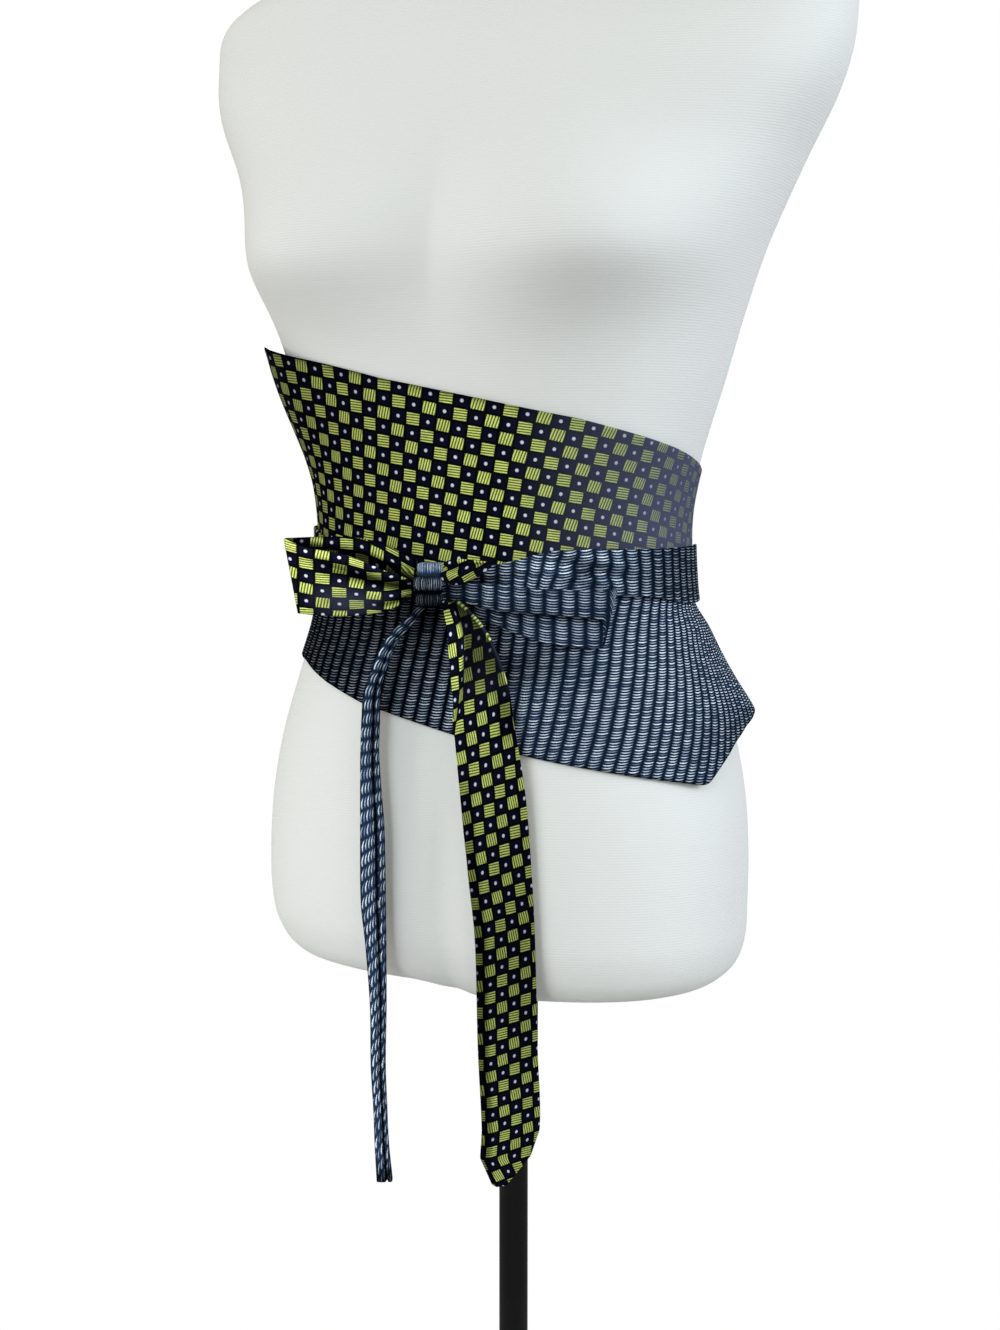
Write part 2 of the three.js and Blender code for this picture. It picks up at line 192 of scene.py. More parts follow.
# 1 inside +-half, falling to 0 over soft.
def within(tree, value, half, soft):
    return ramp(tree, calc(tree, "ABSOLUTE", value), half + soft, half - soft)


def bump(tree, height, distance, strength):
    node = tree.nodes.new("ShaderNodeBump")
    node.inputs["Distance"].default_value = distance
    node.inputs["Strength"].default_value = strength
    put(tree, node.inputs["Height"], height)
    return node.outputs["Normal"]


def colour(red, green, blue):
    def linear(c):
        c = c / 255
        return c / 12.92 if c < 0.04045 else ((c + 0.055) / 1.055) ** 2.4

    return (linear(red), linear(green), linear(blue), 1)


def setSurface(shader, roughness, specular):
    shader.inputs["Roughness"].default_value = roughness
    shader.inputs["Specular IOR Level"].default_value = specular


def readMap(tree, name):
    uv = tree.nodes.new("ShaderNodeUVMap")
    uv.uv_map = name
    split = tree.nodes.new("ShaderNodeSeparateXYZ")
    tree.links.new(uv.outputs[0], split.inputs[0])
    return split.outputs[0], split.outputs[1], uv.outputs[0]


# The cloth's own lengths in millimetres, along the tie and across it. The map holds tenths
# of a metre.
def clothLengths(tree):
    along, across, uv = readMap(tree, "cloth")
    return calc(tree, "MULTIPLY", along, 100), calc(tree, "MULTIPLY", across, 100), uv


checkSilkLook = {
    "cellAlong": 9.7,
    "cellAcross": 8.45,
    "squareAlong": 0.415,
    "squareAcross": 0.41,
    # how far the edges of a square are soft
    "cellSoft": 0.025,
    # how the weave wanders: noise scale, detail, reach
    "wanderAlong": (260, 2, 0.8),
    "wanderAcross": (210, 2, 0.7),
    # the stripes of a square: count, part of the cell, start, and the lean of both kinds
    "stripes": 4.6,
    "stripeSpan": 0.84,
    "stripeStart": 0.4,
    "uprightLean": -0.16,
    "levelLean": -0.1,
    "stripeSwell": 1.8,
    # noise in the stripes, and where they turn from dark to light
    "stripeFlecks": (900, 1, 0.5),
    "stripeEdge": (0.2, 0.72),
    "brownEdge": (0.52, 0.72),
    "brownShare": 0.6,
    "lightGreen": colour(222, 236, 138),
    "darkGreen": colour(84, 96, 22),
    "brownGreen": colour(112, 88, 24),
    "ground": colour(8, 10, 11),
    "dotCell": colour(15, 17, 36),
    "dot": colour(222, 225, 246),
    "dotRadius": 1.05,
    "dotSoft": 0.28,
    "haloRadius": 2.1,
    "haloSoft": 0.7,
    # painted sheen, blended in by the second map
    "paintedSheen": colour(82, 87, 112),
    "shine": 0.35,
    "roughness": 0.46,
    "relief": 0.00022,
}


# Painted shade and highlight, as a factor on the colour, and painted sheen, from the second map.
def paintedShadingColour(tree, plainColour, paintedSheenColour):
    depth, paintedSheen = readMap(tree, "paintedShading")[:2]
    scale = tree.nodes.new("ShaderNodeVectorMath")
    scale.operation = "SCALE"
    put(tree, scale.inputs["Scale"], depth)
    put(tree, scale.inputs[0], blend(tree, paintedSheen, plainColour, paintedSheenColour))
    return scale.outputs[0]


# Every other cell is a square woven in stripes, upright or level by turns, and the rest have
# a dot.
def makeCheckSilk():
    look = checkSilkLook
    material, tree, shader = newMaterial("check silk")
    along, across, uv = clothLengths(tree)
    along = calc(tree, "ADD", along, wobble(tree, uv, *look["wanderAlong"]))
    across = calc(tree, "ADD", across, wobble(tree, uv, *look["wanderAcross"]))
    column, inColumn = cellAt(tree, calc(tree, "DIVIDE", along, look["cellAlong"]))
    row, inRow = cellAt(tree, calc(tree, "DIVIDE", across, look["cellAcross"]))
    both = calc(tree, "ADD", column, row)
    odd = calc(tree, "FLOORED_MODULO", both, 2)
    upright = calc(tree, "COMPARE", calc(tree, "FLOORED_MODULO", both, 4), 2, 0.5)
    # the woven square and its stripes
    square = calc(tree, "MULTIPLY",
                  within(tree, inColumn, look["squareAlong"], look["cellSoft"]),
                  within(tree, inRow, look["squareAcross"], look["cellSoft"]))
    leaning = calc(tree, "MULTIPLY_ADD", inRow, look["uprightLean"], inColumn)
    level = calc(tree, "MULTIPLY_ADD", inColumn, look["levelLean"], inRow)
    stripeAt = calc(tree, "ADD", calc(tree, "MULTIPLY", leaning, upright),
                    calc(tree, "MULTIPLY", level, calc(tree, "SUBTRACT", 1, upright)))
    turns = look["stripes"] * 2 * math.pi / look["stripeSpan"]
    wave = calc(tree, "MULTIPLY_ADD", stripeAt, turns, look["stripeStart"])
    wave = calc(tree, "MULTIPLY_ADD", noiseAt(tree, uv, 420, 2), look["stripeSwell"], wave)
    stripe = calc(tree, "MULTIPLY_ADD", calc(tree, "SINE", wave), 0.5, 0.5)
    stripe = calc(tree, "ADD", stripe, wobble(tree, uv, *look["stripeFlecks"]))
    stripe = ramp(tree, stripe, *look["stripeEdge"])
    brown = ramp(tree, noiseAt(tree, uv, 21, 2), *look["brownEdge"])
    brown = calc(tree, "MULTIPLY", brown, look["brownShare"])
    darkGreen = blend(tree, brown, look["darkGreen"], look["brownGreen"])
    greenCloth = blend(tree, stripe, darkGreen, look["lightGreen"])
    # the dot, in its bluish square
    dx = calc(tree, "MULTIPLY", inColumn, look["cellAlong"])
    dy = calc(tree, "MULTIPLY", inRow, look["cellAcross"])
    squares = calc(tree, "MULTIPLY_ADD", dx, dx, calc(tree, "MULTIPLY", dy, dy))
    distance = calc(tree, "SQRT", squares)
    dot = within(tree, distance, look["dotRadius"], look["dotSoft"])
    halo = within(tree, distance, look["haloRadius"], look["haloSoft"])
    cell = blend(tree, calc(tree, "MULTIPLY", square, 0.9), look["ground"], look["dotCell"])
    cell = blend(tree, calc(tree, "MULTIPLY", halo, 0.4), cell, look["ground"])
    cell = blend(tree, dot, cell, look["dot"])
    plain = blend(tree, square, look["ground"], greenCloth)
    result = blend(tree, odd, plain, cell)
    worn = calc(tree, "MULTIPLY_ADD", noiseAt(tree, uv, 9, 3), 0.4, -0.08)
    result = blend(tree, worn, result, (0, 0, 0, 1))
    # the colour scaled by the painted shade and highlight of the second map, with its painted
    # sheen
    put(tree, shader.inputs["Base Color"], paintedShadingColour(tree, result, look["paintedSheen"]))
    # raised stripes and dots, and a sheen on the woven squares
    woven = calc(tree, "MULTIPLY", square, calc(tree, "SUBTRACT", 1, odd))
    raised = calc(tree, "MULTIPLY", woven, calc(tree, "MULTIPLY_ADD", stripe, 0.8, 0.3))
    raised = calc(tree, "MULTIPLY_ADD", dot, odd, raised)
    raised = calc(tree, "MULTIPLY_ADD", noiseAt(tree, uv, 1400, 2), 0.5, raised)
    put(tree, shader.inputs["Normal"], bump(tree, raised, look["relief"], 0.8))
    put(tree, shader.inputs["Metallic"], calc(tree, "MULTIPLY", woven, look["shine"]))
    setSurface(shader, look["roughness"], 0)
    return material


ribSilkLook = {
    "pitch": 9.2,
    "thread": 1.7,
    "ribWidth": 0.41,
    "ribSoft": 0.07,
    # how the weave wanders: noise scale, detail, reach
    "wanderAlong": (150, 3, 1.2),
    "wanderAcross": (300, 2, 1.3),
    # threads: how far their ends curve up and each rib's are moved, and their width in a row
    "smile": 3.6,
    "ribShift": 5.0,
    "threadWidth": 0.15,
    "threadSoft": 0.17,
    # their strength: the least, more for every other one, and a share left to chance
    "strength": 0.46,
    "everyOther": 0.3,
    "chance": 0.5,
    "fadeAcross": (-4.2, 1.05),
    "middleFrom": (0.0, 0.5),
    "brightFrom": (0.3, 1.0),
    "shineFrom": (0.1, 0.6),
    "bright": colour(226, 239, 252),
    "middle": colour(66, 88, 120),
    "deep": colour(10, 18, 28),
    "groove": colour(4, 8, 14),
    # painted sheen, blended in by the second map
    "paintedSheen": colour(60, 82, 118),
    "shine": 0.45,
    "roughness": 0.46,
    "relief": 0.0008,
}


# Ribs across the tie, each with light threads that curve up at their ends.
def makeRibSilk():
    look = ribSilkLook
    material, tree, shader = newMaterial("rib silk")
    along, across, uv = clothLengths(tree)
    along = calc(tree, "ADD", along, wobble(tree, uv, *look["wanderAlong"]))
    rib, inRib = cellAt(tree, calc(tree, "DIVIDE", along, look["pitch"]))
    squared = calc(tree, "MULTIPLY", inRib, inRib)
    crown = within(tree, inRib, look["ribWidth"], look["ribSoft"])
    smile = calc(tree, "MULTIPLY", squared, look["smile"])
    shift = calc(tree, "MULTIPLY", scatter(tree, rib, 3), look["ribShift"])
    place = calc(tree, "SUBTRACT", calc(tree, "ADD", across, shift), smile)
    place = calc(tree, "ADD", place, wobble(tree, uv, *look["wanderAcross"]))
    thread, inThread = cellAt(tree, calc(tree, "DIVIDE", place, look["thread"]))
    strong = calc(tree, "FLOORED_MODULO", thread, 2)
    power = calc(tree, "MULTIPLY_ADD", strong, look["everyOther"], look["strength"])
    power = calc(tree, "MULTIPLY_ADD", scatter(tree, rib, thread), look["chance"], power)
    middleOut = calc(tree, "MULTIPLY_ADD", squared, *look["fadeAcross"])
    line = within(tree, inThread, look["threadWidth"], look["threadSoft"])
    light = calc(tree, "MULTIPLY", calc(tree, "MULTIPLY", line, power), middleOut)
    light = calc(tree, "MULTIPLY", light, crown)
    patchy = calc(tree, "MULTIPLY_ADD", noiseAt(tree, uv, 14, 3), 0.6, 0.8)
    light = calc(tree, "MULTIPLY", light, patchy)
    body = blend(tree, crown, look["groove"], look["deep"])
    middle = blend(tree, ramp(tree, light, *look["middleFrom"]), body, look["middle"])
    result = blend(tree, ramp(tree, light, *look["brightFrom"]), middle, look["bright"])
    # the colour scaled by the painted shade and highlight of the second map, with its painted
    # sheen
    put(tree, shader.inputs["Base Color"], paintedShadingColour(tree, result, look["paintedSheen"]))
    shine = calc(tree, "MULTIPLY", ramp(tree, light, *look["shineFrom"]), look["shine"])
    put(tree, shader.inputs["Metallic"], shine)
    crownHeight = calc(tree, "MULTIPLY_ADD", squared, -4, 1)
    height = calc(tree, "MULTIPLY_ADD", line, 0.16, crownHeight)
    height = calc(tree, "MULTIPLY_ADD", noiseAt(tree, uv, 1200, 2), 0.1, height)
    put(tree, shader.inputs["Normal"], bump(tree, height, look["relief"], 0.8))
    setSurface(shader, look["roughness"], 0)
    return material


jerseyLook = {
    "shade": colour(227, 229, 227),
    "light": colour(235, 238, 240),
    "fleck": colour(196, 192, 182),
    "course": 0.0016,
    "roughness": 0.85,
    "relief": 0.00025,
}


def makeJersey():
    look = jerseyLook
    material, tree, shader = newMaterial("form jersey")
    place = tree.nodes.new("ShaderNodeTexCoord").outputs["Object"]
    base = blend(tree, noiseAt(tree, place, 3.5, 3), look["shade"], look["light"])
    fine = noiseAt(tree, place, 900, 2)
    base = blend(tree, calc(tree, "MULTIPLY", fine, 0.12), base, look["fleck"])
    put(tree, shader.inputs["Base Color"], base)
    split = tree.nodes.new("ShaderNodeSeparateXYZ")
    tree.links.new(place, split.inputs[0])
    turns = calc(tree, "MULTIPLY", split.outputs[2], 2 * math.pi / look["course"])
    knit = calc(tree, "MULTIPLY_ADD", calc(tree, "SINE", turns), 0.3, fine)
    knit = calc(tree, "MULTIPLY_ADD", noiseAt(tree, place, 60, 3), 0.6, knit)
    put(tree, shader.inputs["Normal"], bump(tree, knit, look["relief"], 0.35))
    setSurface(shader, look["roughness"], 0.2)
    shader.inputs["Sheen Weight"].default_value = 0.15
    return material


metalLook = {
    "dark": colour(14, 14, 15),
    "light": colour(22, 22, 23),
    "relief": 0.0001,
    "roughness": (0.25, 0.25),  # the part that varies, and the least
}


def makeBlackMetal():
    look = metalLook
    material, tree, shader = newMaterial("black metal")
    place = tree.nodes.new("ShaderNodeTexCoord").outputs["Object"]
    base = blend(tree, noiseAt(tree, place, 12, 3), look["dark"], look["light"])
    put(tree, shader.inputs["Base Color"], base)
    grain = noiseAt(tree, place, 700, 3)
    put(tree, shader.inputs["Normal"], bump(tree, grain, look["relief"], 0.3))
    uneven = calc(tree, "MULTIPLY_ADD", noiseAt(tree, place, 40, 4), *look["roughness"])
    put(tree, shader.inputs["Roughness"], uneven)
    shader.inputs["Specular IOR Level"].default_value = 0.1
    return material


# one for each slot
materials = {
    "check_silk": makeCheckSilk(),
    "rib_silk": makeRibSilk(),
    "form_jersey": makeJersey(),
    "black_metal": makeBlackMetal(),
}
print("materials made")


# Making meshes.
def addObject(name, node, slotName, bm):
    mesh = bpy.data.meshes.new(name)
    bm.to_mesh(mesh)
    bm.free()
    for polygon in mesh.polygons:
        polygon.use_smooth = True
    mesh.materials.append(materials[slotName])
    piece = bpy.data.objects.new(name, mesh)
    bpy.context.scene.collection.objects.link(piece)
    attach(piece, "root")
    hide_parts(node)
    return piece


def smoothOnce(piece):
    smooth = piece.modifiers.new("smooth", "SUBSURF")
    smooth.levels = 1
    smooth.render_levels = 1


# A grid bent to place(s, t), with the cloth's own lengths as its UV map. A second map holds
# painted shade and highlight, as a factor on the colour, and how much painted sheen lies on it.
def bendGrid(columns, rows, place, lengths, paintedShading=None):
    bm = bmesh.new()
    bmesh.ops.create_grid(bm, x_segments=columns, y_segments=rows, size=0.5)
    uvLayer = bm.loops.layers.uv.new("cloth")
    paintedShadingLayer = bm.loops.layers.uv.new("paintedShading")
    at = {}
    for vert in bm.verts:
        s, t = vert.co.x + 0.5, vert.co.y + 0.5
        at[vert] = (round(s * columns), round(t * rows))
        vert.co = Vector(place(s, t)) * mm
    keys = set(at.values())
    uvs = {(i, j): lengths(i / columns, j / rows) for i, j in keys}
    paintedShadingValues = {(i, j): paintedShading(i / columns, j / rows) if paintedShading else (1, 0) for i, j in keys}
    for face in bm.faces:
        for loop in face.loops:
            u, v = uvs[at[loop.vert]]
            loop[uvLayer].uv = (u * 10, v * 10)
            loop[paintedShadingLayer].uv = paintedShadingValues[at[loop.vert]]
    return bm


def reportSheet(piece):
    area = sum(polygon.area for polygon in piece.data.polygons)
    print(piece.name, "cloth area", round(area, 5), "faces", len(piece.data.polygons))


# A sheet of cloth. Its wall goes inwards from the face that was shaped, and its edges are
# rounded.
def makeSheet(name, node, slotName, thickness, *grid):
    piece = addObject(name, node, slotName, bendGrid(*grid))
    wall = piece.modifiers.new("wall", "SOLIDIFY")
    wall.thickness = thickness * mm
    wall.offset = -1
    smoothOnce(piece)
    reportSheet(piece)
    return piece


# A closed skin round a stack of rings; place(s, t) has s round the ring and t up the stack.
def bendTube(sides, rings, place, lengths, paintedShading=None):
    bm = bendGrid(sides, rings, place, lengths, paintedShading)
    bmesh.ops.remove_doubles(bm, verts=bm.verts, dist=0.00001)
    ends = bmesh.ops.holes_fill(bm, edges=[e for e in bm.edges if e.is_boundary], sides=0)
    bmesh.ops.triangulate(bm, faces=ends["faces"])
    bmesh.ops.recalc_face_normals(bm, faces=bm.faces)
    return bm


# The dress form.
formShape = {
    # height, half width, front depth, back depth, middle in Y, squareness
    "sections": [
        (543, 130, 82, 84, -13, 2.4),
        (547, 141, 91, 93, -13, 2.4),
        (558, 151, 99, 101, -13, 2.4),
        (580, 157, 103, 106, -14, 2.4),
        (640, 158, 103, 108, -14, 2.35),
        (690, 151, 101, 105, -13, 2.3),
        (740, 135, 94, 94, -15, 2.25),
        (770, 125, 88, 88, -17, 2.2),
        (800, 121, 87, 85, -17, 2.2),
        (835, 121, 88, 83, -17, 2.2),
        (870, 127, 92, 87, -15, 2.25),
        (920, 141, 100, 93, -11, 2.3),
        (960, 152, 106, 99, -9, 2.3),
        (1000, 165, 108, 105, -7, 2.3),
        (1050, 186, 102, 110, 0, 2.3),
        (1095, 209, 88, 108, 2, 2.3),
        (1130, 217, 75, 99, 7, 2.3),
        (1160, 212, 68, 90, 10, 2.3),
        (1182, 175, 62, 82, 14, 2.2),
        (1200, 115, 56, 70, 14, 2.1),
        (1215, 66, 52, 58, 14, 2.0),
        (1290, 58, 50, 54, 14, 2.0),
    ],
    "bustAngle": 40,
    "bustSpread": 28,
    "bustHeight": 995,
    "bustReach": 28.5,
    "bustAbove": 62,
    "bustBelow": 38,
    "bottom": 543,
    "neckTop": 1280,
    # the underside: closer rings at first, a rise in its rim and where on the rim that is
    "lowRings": (60, 0.14, 1.8),
    "rimHeight": 60,
    "rimRise": 6,
    "rimAside": 2.5,
    "rimPhi": -75,
    "rimFade": (90, 55),
    # a shallow groove up the front
    "groovePhi": 2,
    "grooveWidth": 5.5,
    "grooveDepth": 5,
    "grooveTop": 700,
    "grooveFull": 600,
    # part of the way, lift from the form, height above the neck
    "cap": [(0, -2.5, 0.3), (0.3, 0, 1.5), (0.7, 0, 6.5), (1, -3, 9)],
}


def bustReach(phi, z):
    shape = formShape
    turn = (abs(phi) - shape["bustAngle"]) / shape["bustSpread"]
    tall = shape["bustAbove"] if z > shape["bustHeight"] else shape["bustBelow"]
    rise = (z - shape["bustHeight"]) / tall
    return shape["bustReach"] * math.exp(-turn * turn - rise * rise)


def formPoint(phi, z, lift):
    phi = (phi + 180) % 360 - 180
    halfWidth, front, back, middle, square = readSmooth(formShape["sections"], z)
    c, s = math.cos(math.radians(phi)), math.sin(math.radians(phi))
    depth = front if c > 0 else back
    radius = ((abs(s) / halfWidth) ** square + (abs(c) / depth) ** square) ** (-1 / square)
    radius += bustReach(phi, z) + lift
    return Vector((radius * s, middle - radius * c, z))


def makeForm():
    shape = formShape
    bottom, top = shape["bottom"], shape["neckTop"]
    lowHeight, lowShare, lowPower = shape["lowRings"]

    def height(t):
        if t < lowShare:
            return bottom + lowHeight * (t / lowShare) ** lowPower
        up = (t - lowShare) / (1 - lowShare)
        return bottom + (lowHeight + up * (top - bottom - lowHeight))

    def place(s, t):
        phi = s * 360 - 180
        z = height(t)
        across = (phi - shape["groovePhi"]) / shape["grooveWidth"]
        groove = shape["grooveDepth"] * fade(z, shape["grooveTop"], shape["grooveFull"])
        spot = formPoint(phi, z, -groove * math.exp(-across * across))
        low = fade(z, bottom, bottom + shape["rimHeight"], 1, 0)
        away = abs(phi - shape["rimPhi"])
        spot.z += shape["rimRise"] * low * fade(away, *shape["rimFade"])
        spot.x += shape["rimAside"] * low
        return spot

    def capPlace(s, t):
        lift, z = readSmooth(shape["cap"], t)
        spot = formPoint(s * 360 - 180, top, lift)
        spot.z = top + z
        return spot

    def plain(s, t):
        return s, t

    piece = addObject("formBody", "form_torso", "form_jersey", bendTube(120, 150, place, plain))
    smoothOnce(piece)
    print("form", len(piece.data.polygons))
    addObject("neckTopCap", "neck_cap", "form_jersey", bendTube(72, 8, capPlace, plain))


makeForm()


# The stand.
standShape = {
    # distance from the pole's middle, height
    "pole": [(0, 10.3), (9.5, 10.3), (9.5, 537.4), (0, 537.4)],
    "base": [(0, 0), (162, 0), (165, 3), (165, 7), (161, 10), (36, 16), (22, 26), (22, 44),
             (20, 46), (9.8, 46), (9.8, 10), (0, 10)],
    "collar": [(0, 537.7), (9.8, 537.7), (9.8, 485), (16, 485), (16, 529.7), (24, 537.7),
               (45, 537.7), (45, 542.7), (0, 542.7)],
    "easedBy": 0.5,
}


# A profile spun round the pole, with its sharp corners eased.
def makeTurned(name, profile, node):
    bm = bmesh.new()
    verts = [bm.verts.new((r * mm, 0, z * mm)) for r, z in profile]
    edges = [bm.edges.new(pair) for pair in zip(verts, verts[1:])]
    bmesh.ops.spin(bm, geom=verts + edges, axis=(0, 0, 1), cent=(0, 0, 0), angle=2 * math.pi,
                   steps=96, use_merge=True)
    bmesh.ops.remove_doubles(bm, verts=bm.verts, dist=0.00001)
    bmesh.ops.recalc_face_normals(bm, faces=bm.faces)
    piece = addObject(name, node, "black_metal", bm)
    ease = piece.modifiers.new("eased edges", "BEVEL")
    ease.width = standShape["easedBy"] * mm
    ease.segments = 2
    ease.limit_method = "ANGLE"
    ease.angle_limit = math.radians(35)
    sharp = piece.modifiers.new("clean shading", "WEIGHTED_NORMAL")
    sharp.keep_sharp = True


makeTurned("standPole", standShape["pole"], "pole")
makeTurned("standBase", standShape["base"], "base")
makeTurned("standCollar", standShape["collar"], "pole_collar")
print("stand made")


# The wide band.
bandShape = {
    "lift": 1.0,
    "thickness": 1.5,
    # phi, top, bottom
    "upperEdges": [
        (-106, 106, 102), (-81, 130.5, 25), (-69, 143, 0.15), (-51, 133, 0.15), (-20, 118, 0.15),
        (16, 105, 0.15), (46, 93, 0.15), (70, 80, 0.15), (99, 65, 0.15), (125, 55, 0.15),
        (150, 46, 0.15), (179.8, 38, 1.15),
    ],
    "lowerEdges": [
        (-179.8, -1.15, -37), (-150, -0.15, -40), (-120, -0.15, -45), (-90, -0.15, -50),
        (-61, -0.15, -57), (-46, -0.15, -68), (-29, -0.15, -79), (6, -0.15, -94),
        (30, -0.15, -105), (49, -0.15, -113), (67, -0.15, -121), (75, -0.15, -124.5),
        (78.5, -1.15, -116), (85.5, -4, -101.5), (92, -9, -93), (99, -18, -88),
        (103, -33, -86.5), (105.5, -84, -85.5),
    ],
    # how it stands off the form: phi where that starts, degrees to the full reach, then h
    # where it starts, rise to the full reach, reach, and h and reach of a second part
    "upperFlare": (-40, -30, 50, 80, 10, 50, 0),
    "lowerFlare": (60, 45, -18, -18, 6, -45, 9.5),
    # the checks: how the rows drop and the columns lean, where they start, and how they close up
    "rowSlope": 10.1,
    "columnLean": 7.8,
    "checksStart": (12.6, -0.2),
    "closeAlong": 0.00018,
    "closeAcross": 0.00045,
    # the ribs fan out: length round the form, ribs counted, lean
    "ribFan": [
        (-420, -50.8, 0), (-300, -38, 0), (-180, -25.2, 1), (-85, -15.2, 4), (-16, -7.8, 9.5),
        (40, -1.6, 11), (60, 0.8, 13), (80, 3.2, 16.4), (100, 5.5, 18.9), (120, 7.9, 20.4),
        (140, 10.6, 21.2), (160, 13.7, 21.1), (180, 17.3, 20.1), (200, 21.6, 19),
        (230, 26.6, 17), (290, 33.4, 14),
    ],
    "ribFanHeight": -60,
    # height above the floor at which the length round the form is taken
    "upperLevel": 860,
    "lowerLevel": 740,
    "unevenness": 0.35,
    # Painted shade and highlight, and painted sheen, over phi unless something else is named:
    # start, end, from, to.
    "upperPaintedShade": (-88, 30, 0.38, 1.12),
    "upperBehind": (108, 148),
    "upperBackPaintedShade": 0.75,
    # painted shade along the rolled top edge, over the distance from it, and where it is rolled
    "upperRim": (0.6, 3.2, 0.2, 1),
    "upperRolled": (10, 60, 1, 0),
    "upperPaintedSheen": [(22, 77, 0, 0.6), (60, 88, 0, 0.2)],
    "upperSidePaintedSheen": (-55, -70, 0, 0.12),
    "lowerPaintedShade": (-62, 36, 0.2, 1.42),
    "lowerBehind": (-95, -145),
    "lowerBackPaintedShade": 0.8,
    # painted shade at the low corner, over phi and over h
    "lowerCorner": (66, 86, 0, 0.4),
    "lowerCornerDrop": (-70, -95),
    # painted shade along the hem, over the distance from it
    "lowerRim": (0.4, 2.6, 0.35, 1),
    "lowerPaintedSheen": (5, 35, 0, 0.08),
    # painted shadow under the bow: strength, phi and its reach, h and its reach
    "lowerShade": [(0.65, -6, 34, -32, 30), (0.75, -3, 11, -22, 14), (0.65, 29, 20, -53, 12)],
}


# Where a point of the band lies on its cloth, from the length round the form and the height.
def checksAt(length, h):
    band = bandShape
    slope, lean = math.radians(band["rowSlope"]), math.radians(band["columnLean"])
    along = length * math.cos(lean) - h * math.sin(lean)
    across = length * math.sin(slope) + h * math.cos(slope)
    startAlong, startAcross = band["checksStart"]
    return (
        along * (1 + band["closeAlong"] * length) + startAlong,
        across * (1 + band["closeAcross"] * length) + startAcross,
    )


def ribsAt(length, h):
    fan = bandShape["ribFan"]
    below = h - bandShape["ribFanHeight"]
    start = length
    for _ in range(5):
        ribs, lean = readSmooth(fan, start)
        start = length - below * math.tan(math.radians(lean))
    ribs, lean = readSmooth(fan, start)
    return ribs * ribSilkLook["pitch"], h / math.cos(math.radians(lean))


def standOff(flare, phi, h):
    start, over, low, rise, reach, nextLow, more = flare
    near = fade(h, low, low + rise, 0, reach)
    far = fade(h, nextLow, nextLow + rise * 2.5, 0, more)
    return fade(phi, start, start + over) * (near + far)


# Length round the form from the front.
def roundLength(phi, z):
    steps = 24
    total = 0
    last = formPoint(0, z, 2)
    for k in range(1, steps + 1):
        spot = formPoint(phi * k / steps, z, 2)
        total += (spot - last).length
        last = spot
    return total if phi >= 0 else -total


def lengthTable(first, last, z):
    angles = [mix(first, last, k / 60) for k in range(61)]
    return [(phi, roundLength(phi, z)) for phi in angles]


# The upper tie: painted shade towards the wearer's right and along its rolled top edge, with
# painted sheen at the wearer's left.
def upperPaintedShading(phi, h, top, low):
    band = bandShape
    behind = fade(phi, *band["upperBehind"])
    depth = fade(phi, *band["upperPaintedShade"]) * mix(1, band["upperBackPaintedShade"], behind)
    depth *= mix(1, fade(top - h, *band["upperRim"]), fade(phi, *band["upperRolled"]))
    paintedSheen = sum(fade(phi, *each) for each in band["upperPaintedSheen"])
    return depth, paintedSheen * (1 - behind) + fade(phi, *band["upperSidePaintedSheen"])


# The lower tie: painted shade towards the wearer's right and at its low corner and hem, a
# painted shadow under the bow, and a little painted sheen.
def lowerPaintedShading(phi, h, top, low):
    band = bandShape
    depth = fade(phi, *band["lowerPaintedShade"])
    depth = mix(depth, band["lowerBackPaintedShade"], fade(phi, *band["lowerBehind"]))
    for strength, *spot in band["lowerShade"]:
        depth *= 1 - strength * softSpot(phi, h, *spot)
    depth *= 1 - fade(phi, *band["lowerCorner"]) * fade(h, *band["lowerCornerDrop"])
    return depth * fade(h - low, *band["lowerRim"]), fade(phi, *band["lowerPaintedSheen"])


def makeBandPanel(name, node, slotName, edges, flare, layCloth, paintedShadingOf, level, rows):
    band = bandShape
    first, last = edges[0][0], edges[-1][0]
    lengthAt = lengthTable(first, last, level)

    # angle and height of a point of the panel, and the panel's edges there
    def spotAt(s, t):
        phi = mix(first, last, s)
        top, low = readStraight(edges, phi)
        return phi, mix(low, top, t), top, low

    def place(s, t):
        phi, h, top, low = spotAt(s, t)
        lift = band["lift"] + band["thickness"] + standOff(flare, phi, h)
        lift += band["unevenness"] * noise.noise(Vector((phi * 0.035, h * 0.02, 3.0)))
        return formPoint(phi, waist + h, lift)

    def lengths(s, t):
        phi, h, top, low = spotAt(s, t)
        along, across = layCloth(readStraight(lengthAt, phi)[0], h)
        return along * mm, across * mm

    return makeSheet(name, node, slotName, band["thickness"], 190, rows, place, lengths,
                     lambda s, t: paintedShadingOf(*spotAt(s, t)))


upperPanel = makeBandPanel("upperPanelCloth", "upper_panel", "check_silk",
                           bandShape["upperEdges"], bandShape["upperFlare"], checksAt,
                           upperPaintedShading, bandShape["upperLevel"], 48)
lowerPanel = makeBandPanel("lowerPanelCloth", "lower_panel", "rib_silk",
                           bandShape["lowerEdges"], bandShape["lowerFlare"], ribsAt,
                           lowerPaintedShading, bandShape["lowerLevel"], 44)
print("wide band made")


